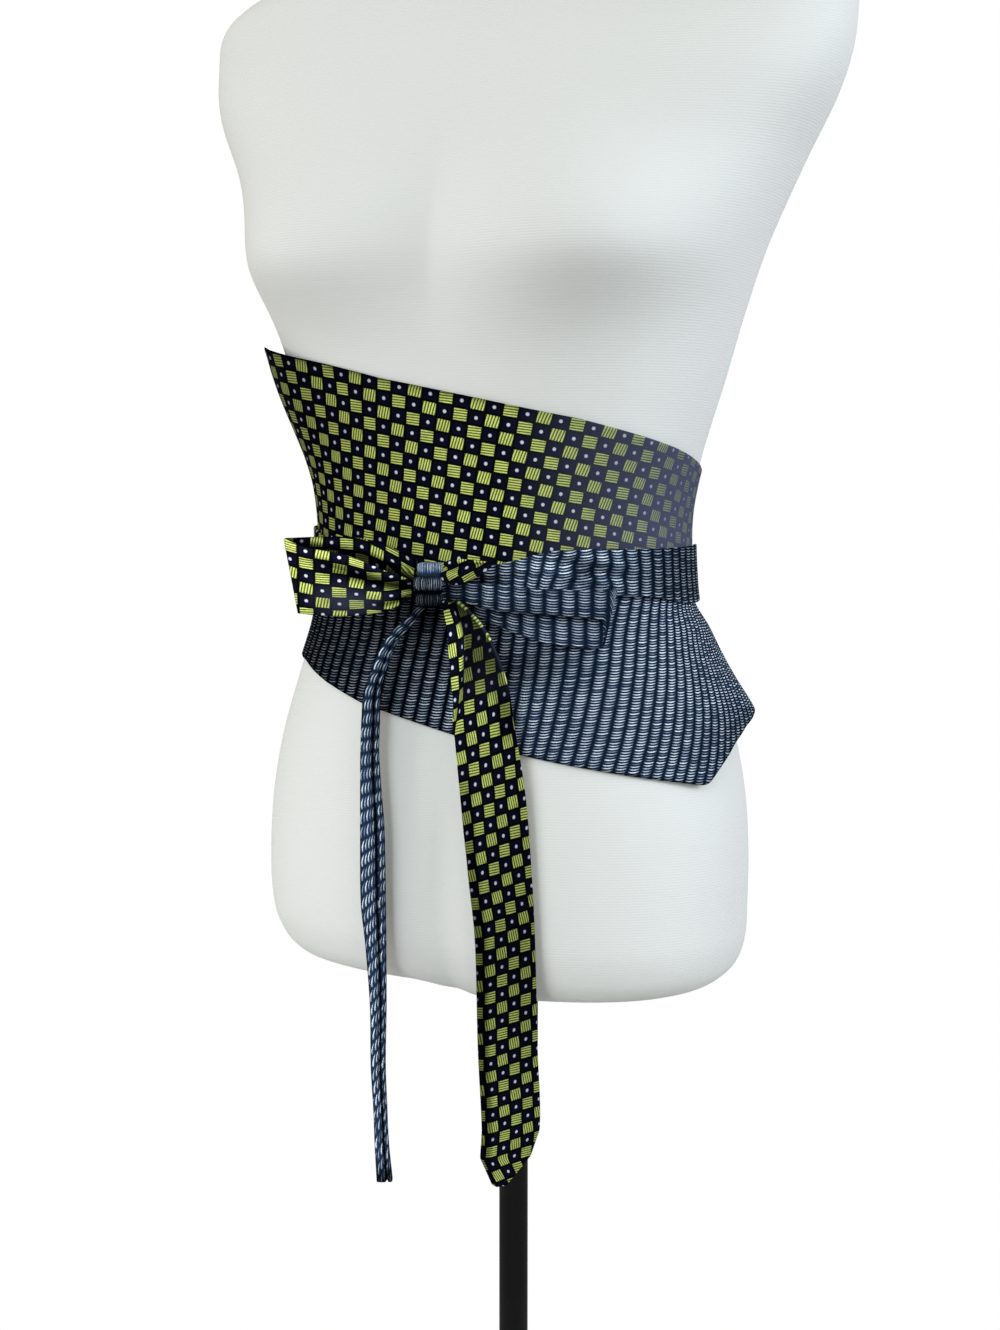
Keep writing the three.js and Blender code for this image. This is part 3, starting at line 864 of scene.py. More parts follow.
# The straps round the waist.
strapShape = {
    "lift": 3.4,
    "thickness": 1.8,
    # degrees from the centre back in which a strap rises over the panels
    "settle": 18,
    "unevenness": 0.25,
    "leftEdges": [
        (-179.8, 38, -0.7), (-170, 37, -0.3), (-160, 36, -1.5), (-140, 33, -4), (-90, 29, -9),
        (-65, 27, -11), (-50, 19, -15), (-35, 18.5, -16), (-20, 17, -14), (-7, 9.5, -11),
    ],
    "rightEdges": [
        (7, 6, -10), (24, 8, -10), (37, 14, -10), (47, 16.5, -11), (68, 16.5, -12),
        (90, 17, -18), (105, 17.5, -18), (140, 5, -30), (160, 1.5, -36), (170, 0.3, -36.5),
        (179.8, 0.7, -37),
    ],
    # s0, t0, s1, t1, width at both ends, height in mm
    "leftCreases": [
        (0.72, 0.6, 1.02, 0.5, 0.12, 0.10, 0.9),
        (0.8, 0.2, 1.03, 0.3, 0.1, 0.1, 0.8),
    ],
    "rightCreases": [
        (0.06, 0.50, 0.46, 0.50, 1.00, 1.00, 2.4),
        (-0.03, 0.45, 0.24, 0.86, 0.09, 0.07, 0.8),
        (0.10, 0.78, 0.34, 0.10, 0.10, 0.09, 1.7),
        (0.17, 0.86, 0.34, 0.30, 0.10, 0.12, -2.2),
        (0.20, 0.98, 0.36, 0.52, 0.09, 0.10, 1.4),
    ],
    # where the cloth is pushed askew: middle, reach, lean of the ribs, rise of the threads
    "rightPush": (41, 9, 8, 3.5),
    # Painted shade and highlight, and painted sheen, over phi: start, end, from, to.
    "backPaintedShade": 0.8,
    "leftPaintedShade": (-60, -10, 0.5, 0.8),
    "leftBehind": (-100, -140),
    "rightPaintedShade": [(12, 28, 0.45, 1.6), (48, 78, 1, 0.42)],
    "rightBehind": (105, 140),
    "rightPaintedSheen": (12, 27, 0, 0.08),
    # the lower edge, over t: painted shade beside the bow, then a painted highlight
    "rightLowEdge": [(0, 0.12, 0.5, 1), (0, 0.06, 2.4, 1)],
    "rightEdgeTurn": (40, 52),
    # a painted highlight on a fold and a painted shadow in a hollow: gain, phi and its reach, t
    # and its reach
    "rightShade": [(0.5, 39, 8, 0.5, 0.3), (-0.75, 50.5, 4.5, 0.5, 0.17)],
}


# Painted shade on the left strap, evened out at the back.
def leftStrapPaintedShading(phi, t):
    shape = strapShape
    depth = fade(phi, *shape["leftPaintedShade"])
    return mix(depth, shape["backPaintedShade"], fade(phi, *shape["leftBehind"])), 0


# Painted shade and highlight on the right strap, along its lower edge and on a fold and a hollow
# beside the bow, with a little painted sheen.
def rightStrapPaintedShading(phi, t):
    shape = strapShape
    depth = fadeAll(phi, shape["rightPaintedShade"])
    for gain, *spot in shape["rightShade"]:
        depth *= 1 + gain * softSpot(phi, t, *spot)
    depth = mix(depth, shape["backPaintedShade"], fade(phi, *shape["rightBehind"]))
    dark, bright = (fade(t, *each) for each in shape["rightLowEdge"])
    depth *= mix(dark, bright, fade(phi, *shape["rightEdgeTurn"]))
    return depth, fade(phi, *shape["rightPaintedSheen"])


def makeStrap(name, node, slotName, edges, creases, paintedShadingOf, columns, rows, across,
              push=None):
    shape = strapShape
    first, last = edges[0][0], edges[-1][0]
    lengthAt = lengthTable(first, last, waist)

    def place(s, t):
        phi = mix(first, last, s)
        top, low = readSmooth(edges, phi)
        lift = fade(abs(phi), 180, 180 - shape["settle"], bandShape["lift"], shape["lift"])
        lift += shape["thickness"] + creaseHeight(creases, s, t)
        lift += shape["unevenness"] * noise.noise(Vector((phi * 0.05, t * 1.5, 9.0)))
        return formPoint(phi, waist + mix(low, top, t), lift)

    def lengths(s, t):
        phi = mix(first, last, s)
        top, low = readSmooth(edges, phi)
        along, h = readStraight(lengthAt, phi)[0], mix(low, top, t)
        if push:
            middle, reach, lean, rise = push
            near = math.exp(-(((phi - middle) / reach) ** 2))
            along += lean * near * (1 - t)
            h += rise * near
        return along * mm, (h + across) * mm

    return makeSheet(name, node, slotName, shape["thickness"], columns, rows, place, lengths,
                     lambda s, t: paintedShadingOf(mix(first, last, s), t))


strapLeft = makeStrap("leftStrapCloth", "waist_strap_left", "check_silk",
                      strapShape["leftEdges"], strapShape["leftCreases"], leftStrapPaintedShading,
                      120, 20, 4)
strapRight = makeStrap("rightStrapCloth", "waist_strap_right", "rib_silk",
                       strapShape["rightEdges"], strapShape["rightCreases"], rightStrapPaintedShading,
                       150, 30, 0, strapShape["rightPush"])
print("straps made")


# The bow. Stations along a ribbon are place along it, x, y, z, half height, lean of the top
# and belly.
bowFacing = 25
leftLoopShape = {
    "thickness": 1.9,
    "stations": [
        (0.0, -11, -115, 803, 6.6, 0, 0),
        (0.1, -24, -116.5, 804.7, 10.8, 0, 0),
        (0.2, -44, -120.5, 802.6, 19.7, 0, 0),
        (0.3, -66, -126, 800.8, 22.4, -3, 0),
        (0.4, -82, -132, 799.8, 22.7, -5, 0),
        (0.5, -84, -137.5, 799.5, 22.5, -4.8, 0),
        (0.6, -78, -141.5, 798.7, 21.6, -4.0, 0),
        (0.7, -66, -142.5, 796.9, 20.2, -1.5, 1),
        (0.8, -44, -139.5, 794.6, 18.2, 0, 2),
        (0.9, -24, -132.5, 791.9, 12.5, 0, 1),
        (1.0, -11, -122.6, 792.4, 5.8, 0, 0),
    ],
    "creases": [
        (0.68, 0.77, 1.12, 0.56, 0.08, 0.11, 5.0),
        (0.56, 0.94, 1.15, 0.86, 0.10, 0.12, -2.4),
        (0.62, 0.42, 1.12, 0.34, 0.22, 0.18, -2.4),
        (0.82, 0.14, 1.14, 0.24, 0.05, 0.08, 2.4),
        (-0.10, 0.35, 0.34, 0.62, 0.12, 0.10, 1.6),
    ],
    # the checks: rows up the front, where columns start and how far apart they stand
    "rowHeight": 0.183,
    "firstRow": 0.02,
    "rowPivot": 0.42,
    "rowLeast": 5.6,
    "frontStart": -124.8,
    "frontPitch": 10.3,
    "backStart": -119.5,
    "backPitch": 9.3,
    # the back's rows: lengths hidden above them along the ribbon, first row, height of a row
    "backHidden": (-0.08, 0.37, 11, 2.6),
    "backFirstRow": 6.5,
    "backRow": 7.8,
    # Painted shade and highlight, along the ribbon and across it: start, end, from, to. The back
    # half shows above the front half (side 1) or below it (side -1), with a painted shadow of
    # the front half on it.
    "side": 1,
    "backAlong": [(0, 0.15, 0.6875, 1.25), (0.5, 0.44, 0.5, 1)],
    "backAcross": [(1, 0.965, 0.2, 1)],
    "backShadow": (-0.3, 4.2, 0.08, 1),
    "frontAlong": [(0.5, 0.55, 0.5, 1.4), (0.88, 1, 1, 0.5)],
    "frontAcross": [(0.84, 0.90, 1, 1.25), (0, 0.03, 0.4, 1)],
    # painted shade in the folds: where it sets in, full strength, then the line as for a crease
    "folds": [
        (0.68, 0.82, 0.85, 0.70, 0.76, 1, 0.62, 0.06, 0.12),
        (0.84, 0.92, 0.6, 0.84, 0.10, 1, 0.22, 0.05, 0.05),
    ],
    # painted sheen on the back and front halves, and the spot where it lies on the front
    "backBloom": 0,
    "frontBloom": 0.3,
    "bloomSpot": (0.80, 0.09, 0.25, 0.2),
}

rightLoopShape = {
    "thickness": 1.9,
    "stations": [
        (0.0, 9.8, -122.6, 791.6, 4.2, 0, 0),
        (0.1, 26, -124, 791.2, 6.6, 0, 1),
        (0.2, 48, -120, 788.5, 7.9, 0, 2),
        (0.3, 73, -109, 786.1, 7.8, 0, 1.5),
        (0.4, 96, -93.8, 784.2, 8.5, 1.5, 0.5),
        (0.46, 101, -89.8, 783.2, 9.6, 2.4, 0),
        (0.5, 102, -87, 777, 16.5, 4, 0),
        (0.55, 98, -87.8, 773.8, 15.8, 3, 0),
        (0.6, 92, -91.5, 773.7, 15.5, 2, 0),
        (0.7, 68, -104.8, 776.2, 14.6, 0, 0),
        (0.8, 46, -111.4, 780.8, 11.4, 0, 0),
        (0.9, 26, -114.6, 786, 8, 0, 0),
        (1.0, 9.8, -116, 790, 5.4, 0, 0),
    ],
    "creases": [
        (-0.10, 0.55, 0.26, 0.66, 0.12, 0.10, 1.5),
        (-0.10, 0.25, 0.24, 0.36, 0.10, 0.12, -1.3),
        (-0.10, 0.84, 0.20, 0.90, 0.08, 0.08, -1.0),
        (0.14, 0.95, 0.30, 0.60, 0.10, 0.10, 1.2),
        (0.20, 0.80, 0.40, 0.95, 0.10, 0.10, -1.0),
    ],
    # the ribs: pitch, and where they start at the front and at the back
    "ribPitch": 9.4,
    "ribFront": 7.4,
    "ribBack": 3.5,
    # the threads: how far apart, and how far they move at the back
    "threadStretch": 1.05,
    "threadShift": 9,
    # painted shade and highlight, a painted shadow and painted sheen, as for the left loop
    "side": -1,
    "backAlong": [(0.97, 0.72, 0.25, 1.25), (0.5, 0.54, 0.7, 1)],
    "backAcross": [],
    "backShadow": (0, 3, 0.5, 1),
    "frontAlong": [(0.02, 0.18, 0.35, 1.15), (0.5, 0.47, 0.85, 1)],
    "frontAcross": [(0, 0.07, 0.7, 1), (1, 0.92, 0.8, 1)],
    "folds": [],
    "backBloom": 0.1,
    "frontBloom": 0.1,
    "bloomSpot": None,
}

twistShape = {
    "thickness": 1.6,
    "stations": [
        (0.0, 10.2, -123.8, 803, 5.5, 0, 0.5),
        (0.33, 20, -127, 803.5, 7.8, 0, 1),
        (0.67, 31, -126.6, 805, 6, 0, 1),
        (1.0, 43, -124.6, 808, 1.6, 0, 0),
    ],
    "creases": [
        (-0.3, 0.66, 1.05, 0.70, 0.10, 0.16, 2.6),
        (-0.3, 0.86, 1.05, 0.84, 0.10, 0.12, -1.0),
        (-0.3, 0.34, 1.05, 0.40, 0.18, 0.16, -1.2),
    ],
    # the checks: slant, stretch and start, along the ribbon and across it
    "length": 36,
    "slant": (0.35, -0.3),
    "stretch": (0.95, 1.15),
    "checksStart": (4, 1),
}


# Lengths the way the bow faces, so its columns and ribs stand upright.
def alongBow(spot):
    turn = math.radians(bowFacing)
    return spot.x * math.cos(turn) + spot.y * math.sin(turn)


def layLeftLoop(s, t, spot):
    shape = leftLoopShape
    if s >= 0.5:
        column = (alongBow(spot) - shape["frontStart"]) / shape["frontPitch"] + 0.5
        least = shape["rowLeast"] / 2 / readSmooth(shape["stations"], s)[3]
        row = (t - shape["rowPivot"]) / max(shape["rowHeight"], least)
        row += (shape["rowPivot"] - shape["firstRow"]) / shape["rowHeight"] + 0.5
    else:
        half = readSmooth(shape["stations"], s)[3]
        column = (alongBow(spot) - shape["backStart"]) / shape["backPitch"] + 0.5
        fromTop = 2 * half * (1 - t) - fade(s, *shape["backHidden"])
        row = shape["backFirstRow"] - fromTop / shape["backRow"]
    return column * checkSilkLook["cellAlong"], row * checkSilkLook["cellAcross"]


def layRightLoop(s, t, spot):
    shape = rightLoopShape
    atBack = s > 0.5
    rib = (alongBow(spot) - shape["ribBack" if atBack else "ribFront"]) / shape["ribPitch"]
    across = readSmooth(shape["stations"], s)[3] * (2 * t - 1) * shape["threadStretch"]
    return rib * ribSilkLook["pitch"], across + (shape["threadShift"] if atBack else 0)


def layTwist(s, t, spot):
    shape = twistShape
    along, across = s * shape["length"], readSmooth(shape["stations"], s)[3] * (2 * t - 1)
    (slantAlong, slantAcross), (stretchAlong, stretchAcross) = shape["slant"], shape["stretch"]
    startAlong, startAcross = shape["checksStart"]
    return ((along + slantAlong * across) * stretchAlong + startAlong,
            (across + slantAcross * along) * stretchAcross + startAcross)


def makeRibbon(name, node, slotName, shape, columns, rows, layCloth, paintedShadingOf=None):
    stations = shape["stations"]

    def place(s, t):
        x, y, z, half, lean, belly = readSmooth(stations, s)
        ahead = readSmooth(stations, s + 0.01)
        behind = readSmooth(stations, s - 0.01)
        dx, dy = ahead[0] - behind[0], ahead[1] - behind[1]
        length = math.hypot(dx, dy)
        v = 2 * t - 1
        # creases go in as seen from outside
        out = shape["thickness"] / 2 + belly * (1 - v * v) - creaseHeight(shape["creases"], s, t)
        return Vector((x + dy / length * out + lean * v, y - dx / length * out, z + half * v))

    def lengths(s, t):
        along, across = layCloth(s, t, place(s, t))
        return along * mm, across * mm

    # painted shade, highlight and sheen, if any
    def paintedShading(s, t):
        return paintedShadingOf(shape, s, t) if paintedShadingOf else (1, 0)

    return makeSheet(name, node, slotName, shape["thickness"], columns, rows, place, lengths,
                     paintedShading)


# Painted shade in the folds and where the cloth runs into the knot, a painted shadow of the
# front half on the back half, and painted sheen.
def loopPaintedShading(shape, s, t):
    side = shape["side"]
    if (0.5 - s) * side > 0:
        x, y, z, half, lean, belly = readSmooth(shape["stations"], s)
        front = readSmooth(shape["stations"], 1 - s)
        past = side * (z + half * (2 * t - 1) - front[2]) - front[3]
        depth = fadeAll(s, shape["backAlong"]) * fadeAll(t, shape["backAcross"])
        return depth * fade(past, *shape["backShadow"]), shape["backBloom"]
    depth = fadeAll(s, shape["frontAlong"]) * fadeAll(t, shape["frontAcross"])
    for start, end, strength, s0, t0, s1, t1, width0, width1 in shape["folds"]:
        k = (s - s0) / (s1 - s0)
        off = (t - mix(t0, t1, k)) / mix(width0, width1, k)
        depth *= 1 - fade(s, start, end, 0, strength) * math.exp(-off * off)
    spot = shape["bloomSpot"]
    return depth, shape["frontBloom"] * (softSpot(s, t, *spot) if spot else 1)


loopLeft = makeRibbon("leftLoopCloth", "bow_loop_left", "check_silk", leftLoopShape, 160, 48,
                      layLeftLoop, loopPaintedShading)
loopRight = makeRibbon("rightLoopCloth", "bow_loop_right", "rib_silk", rightLoopShape, 150, 30,
                       layRightLoop, loopPaintedShading)
twist = makeRibbon("twistCloth", "bow_twist", "check_silk", twistShape, 30, 20, layTwist)


knotShape = {
    "x": -1.2,
    "y": -117.6,
    "width": 21,
    "thickness": 17.5,
    "square": 2.6,
    # z, size
    "rings": [
        (782.5, 0.5), (783.3, 0.66), (785, 0.78), (787.5, 0.8), (789.6, 0.74), (790.6, 0.74),
        (792.3, 0.85), (796, 0.88), (799.4, 0.84), (800.8, 0.7), (801.8, 0.7), (803, 0.8),
        (806.4, 0.8), (807.9, 0.74), (808.5, 0.5),
    ],
    # over z: start, end, from, to
    "lean": (799, 803, 0, 1.6),
    "gathers": 15,
    "gatherDepth": 0.35,
    # how far the gathers sway, and how often on the way up
    "gatherSway": (2, 9),
    # the ribs: middle height, stretch, and the length of a turn
    "ribMiddle": 791,
    "ribStretch": 0.92,
    "girth": 96,
    # painted shade, darkest low on the knot, and a painted highlight and painted sheen on its
    # top
    "depth": (788, 794, 0.2, 0.58),
    "top": (799, 802),
    "topPaintedHighlight": 1.9,
    "topPaintedSheen": 0.35,
}


def makeKnot():
    shape = knotShape
    low, high = shape["rings"][0][0], shape["rings"][-1][0]

    def place(s, t):
        z = mix(low, high, t)
        turn = s * 2 * math.pi
        aside, back = math.cos(turn), math.sin(turn)
        size = readSmooth(shape["rings"], z)[0]
        square = shape["square"]
        reach = (abs(aside) ** square + abs(back) ** square) ** (-1 / square)
        sway, often = shape["gatherSway"]
        gather = math.sin(turn * shape["gathers"] + sway * math.sin(t * often))
        gather *= shape["gatherDepth"]
        x = shape["x"] + reach * aside * (shape["width"] / 2 * size + gather)
        y = shape["y"] + reach * back * (shape["thickness"] / 2 * size + gather)
        return Vector((x + fade(z, *shape["lean"]), y, z))

    def lengths(s, t):
        along = (mix(low, high, t) - shape["ribMiddle"]) * shape["ribStretch"]
        return along * mm, s * shape["girth"] * mm

    # painted shade, and a painted highlight and painted sheen on the top
    def paintedShading(s, t):
        z = mix(low, high, t)
        top = fade(z, *shape["top"])
        return mix(fade(z, *shape["depth"]), shape["topPaintedHighlight"], top), shape["topPaintedSheen"] * top

    addObject("knotCloth", "knot", "rib_silk", bendTube(120, 60, place, lengths, paintedShading))


makeKnot()
print("bow made")


# The tails.
rightTailShape = {
    # z, inner edge x and y, outer edge x and y, thickness
    "rows": [
        (441, 50, -137, 55, -132, 2.0),
        (458, 44, -142, 67, -122, 2.2),
        (474, 45, -142, 72, -120, 2.2),
        (523, 43, -143, 71, -121, 2.2),
        (591, 41, -143, 69, -121, 2.2),
        (628, 36, -143, 67, -121, 2.2),
        (674, 31, -143, 63, -121, 2.2),
        (714, 27, -143, 56, -121, 2.2),
        (735, 25, -142, 52.5, -121, 2),
        (755, 21.5, -139, 45, -122, 2),
        (769, 18, -132, 38, -124.5, 1.8),
        (780, 14.5, -127.4, 29.5, -128.4, 1.6),
        (786.5, 12.5, -125.6, 21, -129, 1.2),
    ],
    # a pleat laid over from the knot; its edge walks to the inner side on the way down
    "pleatTop": 775,
    "pleatEnd": 705,
    "pleatAtTop": 0.55,
    "pleatDepth": 4.2,
    "pleatWidth": 0.13,
    "pleatHides": 5,
    # the inner margin is rolled back lower down
    "roll": (655, 600),
    "rollFrom": 0.80,
    "rollDepth": 5.5,
    # the outer edge stands up a little near the knot
    "lipDepth": 1.6,
    "lipWidth": 0.1,
    # a slow wave down the tail: height, how often, where it starts
    "wave": (0.7, 9, 1),
    "wall": 2.0,
    # checks: cell across, cell down, rise of the rows, and the column and row at a height
    "cellAcross": 7.1,
    "cellDown": 8.2,
    "rise": 0.284,
    "checksHeight": 600,
    "checksStart": (3.65, 0.3),
    "columnLean": 0.0023,
    "rowsOpen": 0.000048,
    # Painted shade and highlight over z: start, end, from, to. The tail changes over its upper
    # part.
    "upper": (722, 752),
    "endDark": (785, 771, 0.4, 1),
    # painted shade from the outer edge to the inner one, and on the pleat and behind it
    "lowPaintedShade": (0.8, 1.0),
    "highPaintedShade": (1.3, 0.24),
    # painted shade on the inner margin, over z and over t
    "innerHeight": (698, 668, 0, 0.8),
    "innerDark": (0.78, 0.88, 0, 0.62),
    # a painted shadow at the outer edge below the pleat, over z and over t
    "outerHeight": (698, 714),
    "outerDark": (0.32, 0.20, 0, 0.55),
    # a stretch of painted shade: strength, middle, reach
    "middleDark": (0.38, 580, 80),
    # a painted highlight along the outer edge, over t
    "outerPaintedHighlight": (0.04, 0.01, 0, 4),
    # painted sheen behind the pleat, from the outer edge to the inner one
    "paintedSheen": (0.2, 0.06),
}


def makeRightTail():
    shape = rightTailShape
    rows = shape["rows"]
    low, high = rows[0][0], rows[-1][0]

    def edgesAt(z):
        return readStraight(rows, z) if z < rows[2][0] else readSmooth(rows, z)

    # how far up the pleat z is, and whether t is past the pleat's edge there
    def pleatAt(z, t):
        down = (z - shape["pleatEnd"]) / (shape["pleatTop"] - shape["pleatEnd"])
        edge = mix(1.05, shape["pleatAtTop"], down)
        return down, smoothStep((t - edge) / shape["pleatWidth"] + 0.5)

    def foldAt(z, t):
        down, past = pleatAt(z, t)
        lift = shape["pleatDepth"] * fade(down, 0, 0.35) * (past - 0.4)
        margin = max(0, (t - shape["rollFrom"]) / (1 - shape["rollFrom"]))
        lift -= shape["rollDepth"] * fade(z, *shape["roll"]) * margin * margin
        lip = max(0, 1 - t / shape["lipWidth"])
        return lift + shape["lipDepth"] * smoothStep(down) * lip * lip

    def place(s, t):
        z = mix(low, high, s)
        innerX, innerY, outerX, outerY, thickness = edgesAt(z)
        across = Vector((outerX - innerX, outerY - innerY, 0)).normalized()
        out = Vector((across.y, -across.x, 0))
        height, often, start = shape["wave"]
        lift = thickness / 2 + foldAt(z, t) + height * math.sin(s * often + start) * (t - 0.5)
        return Vector((mix(outerX, innerX, t), mix(outerY, innerY, t), z)) + out * lift

    def lengths(s, t):
        z = mix(low, high, s)
        innerX, innerY, outerX, outerY, thickness = edgesAt(z)
        h = z - shape["checksHeight"]
        down, past = pleatAt(z, t)
        across = (1 - t) * math.hypot(outerX - innerX, outerY - innerY)
        across -= shape["pleatHides"] * fade(down, 0, 0.25) * past
        column, row = shape["checksStart"]
        column += shape["columnLean"] * h - across / shape["cellAcross"]
        row += (h - shape["rise"] * across) / shape["cellDown"] - shape["rowsOpen"] * h * h
        return column * checkSilkLook["cellAlong"] * mm, row * checkSilkLook["cellAcross"] * mm

    # painted shade, highlight and sheen of the tail
    def paintedShading(s, t):
        z = mix(low, high, s)
        up = fade(z, *shape["upper"])
        behind = 1 - pleatAt(z, t)[1]
        depth = mix(mix(*shape["lowPaintedShade"], t), mix(*shape["highPaintedShade"], behind), up)
        inner = max(fade(z, *shape["roll"]), fade(z, *shape["innerHeight"]))
        depth *= 1 - inner * fade(t, *shape["innerDark"])
        outer = (1 - up) * fade(z, *shape["outerHeight"])
        depth *= 1 - outer * fade(t, *shape["outerDark"])
        depth *= fade(z, *shape["endDark"])
        strength, middle, reach = shape["middleDark"]
        depth *= 1 - strength * math.exp(-(((z - middle) / reach) ** 2))
        depth *= 1 + up * fade(t, *shape["outerPaintedHighlight"])
        return depth, up * behind * mix(*shape["paintedSheen"], t)

    return makeSheet("rightTailCloth", "tail_right", "check_silk", shape["wall"], 200, 40,
                     place, lengths, paintedShading)


leftTailShape = {
    # z, x, y, width and depth of the folded tie
    "rows": [
        (432, -25, -134, 9.6, 12),
        (453, -26.8, -134, 8.6, 13),
        (477, -27.8, -134, 8.4, 13),
        (502, -29, -134, 9, 13),
        (540, -28.8, -134, 10, 13),
        (580, -30.4, -134, 12.8, 13),
        (603, -31.8, -134, 15, 13),
        (647, -32.5, -133.5, 14.5, 13),
        (671, -34.2, -132, 12.7, 13),
        (693, -35.6, -130.5, 11.2, 13),
        (716, -35.5, -129, 11, 13),
        (730, -35, -128, 10, 13),
        (742, -31, -128, 8.8, 11),
        (752, -27.5, -127, 8.8, 9),
        (762, -22.5, -125.5, 8.8, 7),
        (771, -14.5, -123.5, 8, 5),
        (777, -9, -122, 6.5, 4.5),
        (782, -5, -120, 5.5, 4),
    ],
    "facing": 27,
    # how far the ribs climb across the tie at each height, and how close they stand
    "climb": [
        (432, 1.6), (500, 1.3), (560, 1.1), (620, 0.75), (660, 0.4), (700, 0.2), (782, 0.15),
    ],
    "ribsClose": 1.12,
    # how the threads move with the depth of the fold and along the tie
    "threadDrift": (0.3, -0.1),
    # painted shade and highlight over the depth of the fold, over parts of the width, and over z
    "foldPaintedShade": (0, 5, 2.1, 0.5),
    "widthPaintedShade": [(-0.5, -0.36, 0.3, 1), (0, 0.2, 1, 0.75)],
    "heightPaintedShade": [(436, 446, 0.15, 1), (780, 766, 0.25, 1), (680, 720, 1, 0.7)],
    # painted sheen all over
    "paintedSheen": 0.19,
    # the folded section seen from above, in parts of its width and depth
    "outline": [
        (0.0, -0.42, 1.0), (0.08, 0.0, 1.04), (0.16, 0.42, 1.0), (0.22, 0.5, 0.8),
        (0.36, 0.5, 0.2), (0.40, 0.46, 0.06), (0.44, 0.36, 0.0), (0.48, 0.25, 0.05),
        (0.515, 0.18, 0.3), (0.53, 0.16, 0.42), (0.545, 0.14, 0.3), (0.58, 0.08, 0.05),
        (0.63, -0.1, -0.02), (0.70, -0.34, 0.0), (0.75, -0.47, 0.08), (0.79, -0.5, 0.22),
        (0.93, -0.5, 0.8), (1.0, -0.42, 1.0),
    ],
}


def makeLeftTail():
    shape = leftTailShape
    rows = shape["rows"]
    low, high = rows[0][0], rows[-1][0]
    turn = math.radians(shape["facing"])
    sideways = Vector((math.cos(turn), math.sin(turn), 0))
    backwards = Vector((-math.sin(turn), math.cos(turn), 0))

    def middleAt(z):
        x, y, width, depth = readSmooth(rows, z)
        return Vector((x, y, z))

    # place in the folded section, in millimetres across and behind its middle
    def section(s, z):
        x, y, width, depth = readSmooth(rows, z)
        across, behind = readSmooth(shape["outline"], s)
        return across * width, behind * depth

    def place(s, t):
        z = mix(low, high, t)
        across, behind = section(s, z)
        return middleAt(z) + sideways * across + backwards * behind

    # length of the tie up to each height
    runs = [(low, 0)]
    last = middleAt(low)
    for k in range(1, 101):
        spot = middleAt(mix(low, high, k / 100))
        runs.append((spot.z, runs[-1][1] + (spot - last).length))
        last = spot

    def lengths(s, t):
        z = mix(low, high, t)
        across, behind = section(s, z)
        axis = (middleAt(z + 2) - middleAt(z - 2)).normalized()
        along = readStraight(runs, z)[0] + (sideways * across).dot(axis)
        level = across * math.sqrt(max(0.1, 1 - axis.x * axis.x))
        climbed = (along - readSmooth(shape["climb"], z)[0] * level) * shape["ribsClose"]
        withFold, withLength = shape["threadDrift"]
        return climbed * mm, (level + behind * withFold + along * withLength) * mm

    # painted shade, highlight and sheen of the tail
    def paintedShading(s, t):
        z = mix(low, high, t)
        across, behind = section(s, z)
        depth = fade(behind, *shape["foldPaintedShade"]) * fadeAll(z, shape["heightPaintedShade"])
        depth *= fadeAll(across / max(1, readSmooth(rows, z)[2]), shape["widthPaintedShade"])
        return depth, shape["paintedSheen"]

    piece = addObject("leftTailCloth", "tail_left", "rib_silk",
                      bendTube(80, 200, place, lengths, paintedShading))
    reportSheet(piece)
    return piece


tailRight = makeRightTail()
tailLeft = makeLeftTail()
print("tails made")


# Light, floor and camera.
studio = {
    "azimuth": 25,
    "elevation": 5,
    "distance": 1.3,
    "height": 0.738,
    "aside": -0.009,
    "lens": 54.14,
    "floorRadius": 0.62,
    "worldBelow": 0.19,
    "worldAbove": 0.5,
    "worldTint": (1, 0.97, 0.87, 1),
    # name, place, aim, size, power, tint, and the cone of a spot
    "lights": [
        ("key", (1.5, -1.8, 2.5), (0, 0, 0.85), 1.0, 6, (0.95, 0.98, 1.0)),
        ("side", (2.4, 0.2, 1.6), (0, 0, 0.7), 1.3, 40, (0.84, 0.92, 1.0)),
        ("fill", (-2.4, -1.3, 0.9), (0, 0, 0.7), 1.4, 23, (1.0, 0.965, 0.91)),
        ("front", (-0.2, -2.5, 1.8), (0, 0, 0.5), 1.4, 25, (0.915, 0.97, 1.0)),
        ("low", (0.1, -2.4, 0.8), (0.02, 0, 0.53), 0.5, 34, (0.92, 0.98, 1.0), 21),
    ],
}


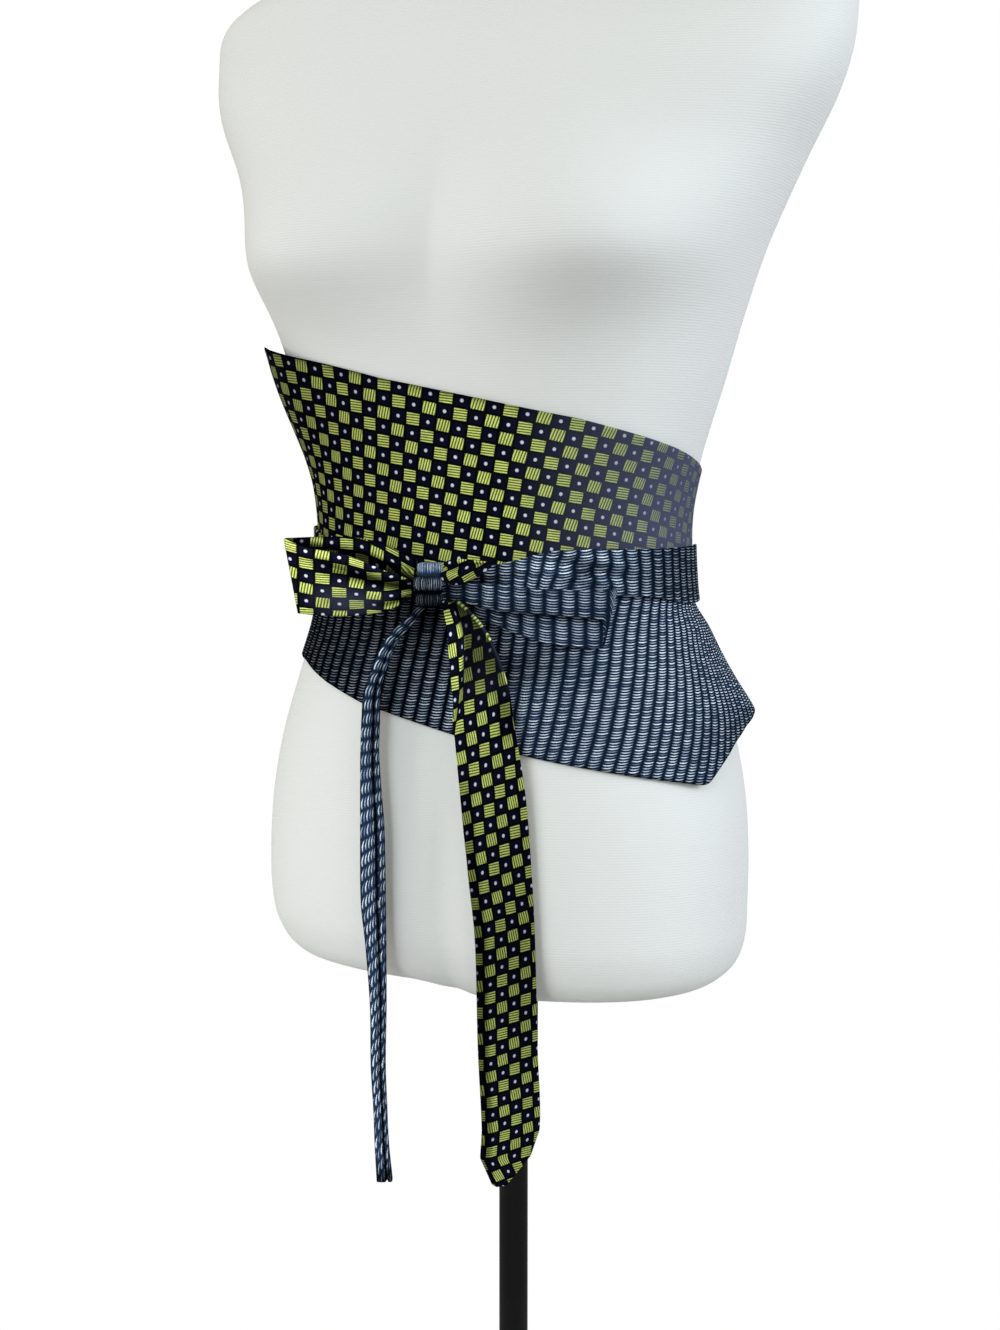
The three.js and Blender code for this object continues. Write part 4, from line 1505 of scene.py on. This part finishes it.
def addLight(name, place, aim, size, power, tint, cone=None):
    light = bpy.data.lights.new(name, "SPOT" if cone else "AREA")
    if cone:
        light.spot_size, light.spot_blend = math.radians(cone), 1
        light.shadow_soft_size = size / 2
    else:
        light.size = size
    light.energy = power
    light.color = tint
    lamp = bpy.data.objects.new(name, light)
    lamp.location = place
    lamp.rotation_euler = (Vector(aim) - Vector(place)).to_track_quat("-Z", "Y").to_euler()
    bpy.context.scene.collection.objects.link(lamp)


def makeStudio():
    scene = bpy.context.scene
    world = bpy.data.worlds.new("studio")
    world.use_nodes = True
    tree = world.node_tree
    background = tree.nodes["Background"]
    # white to the eye, and a soft warm light that falls mostly from above
    seen = tree.nodes.new("ShaderNodeLightPath").outputs["Is Camera Ray"]
    tint = blend(tree, seen, studio["worldTint"], (1, 1, 1, 1))
    put(tree, background.inputs["Color"], tint)
    split = tree.nodes.new("ShaderNodeSeparateXYZ")
    tree.links.new(tree.nodes.new("ShaderNodeTexCoord").outputs["Generated"], split.inputs[0])
    below, above = studio["worldBelow"], studio["worldAbove"]
    lit = calc(tree, "MULTIPLY_ADD", split.outputs[2], (above - below) / 2, (above + below) / 2)
    put(tree, background.inputs["Strength"], calc(tree, "MAXIMUM", seen, lit))
    scene.world = world
    scene.view_settings.view_transform = "Standard"
    bm = bmesh.new()
    bmesh.ops.create_circle(bm, cap_ends=True, segments=96, radius=studio["floorRadius"])
    mesh = bpy.data.meshes.new("floor")
    bm.to_mesh(mesh)
    bm.free()
    floor = bpy.data.objects.new("floor", mesh)
    material, tree, shader = newMaterial("floor paint")
    shader.inputs["Base Color"].default_value = (0.8, 0.8, 0.8, 1)
    shader.inputs["Roughness"].default_value = 0.9
    mesh.materials.append(material)
    scene.collection.objects.link(floor)
    for light in studio["lights"]:
        addLight(*light)
    azimuth, elevation = math.radians(studio["azimuth"]), math.radians(studio["elevation"])
    right = Vector((math.cos(azimuth), math.sin(azimuth), 0))
    ahead = Vector((-math.sin(azimuth) * math.cos(elevation),
                    math.cos(azimuth) * math.cos(elevation), -math.sin(elevation)))
    camera = bpy.data.objects.new("camera", bpy.data.cameras.new("camera"))
    camera.data.lens = studio["lens"]
    camera.data.sensor_width = 36
    camera.location = (Vector((0, 0, studio["height"])) + right * studio["aside"]
                       - ahead * studio["distance"])
    camera.rotation_euler = ahead.to_track_quat("-Z", "Y").to_euler()
    scene.collection.objects.link(camera)
    scene.camera = camera


makeStudio()
print("studio made")
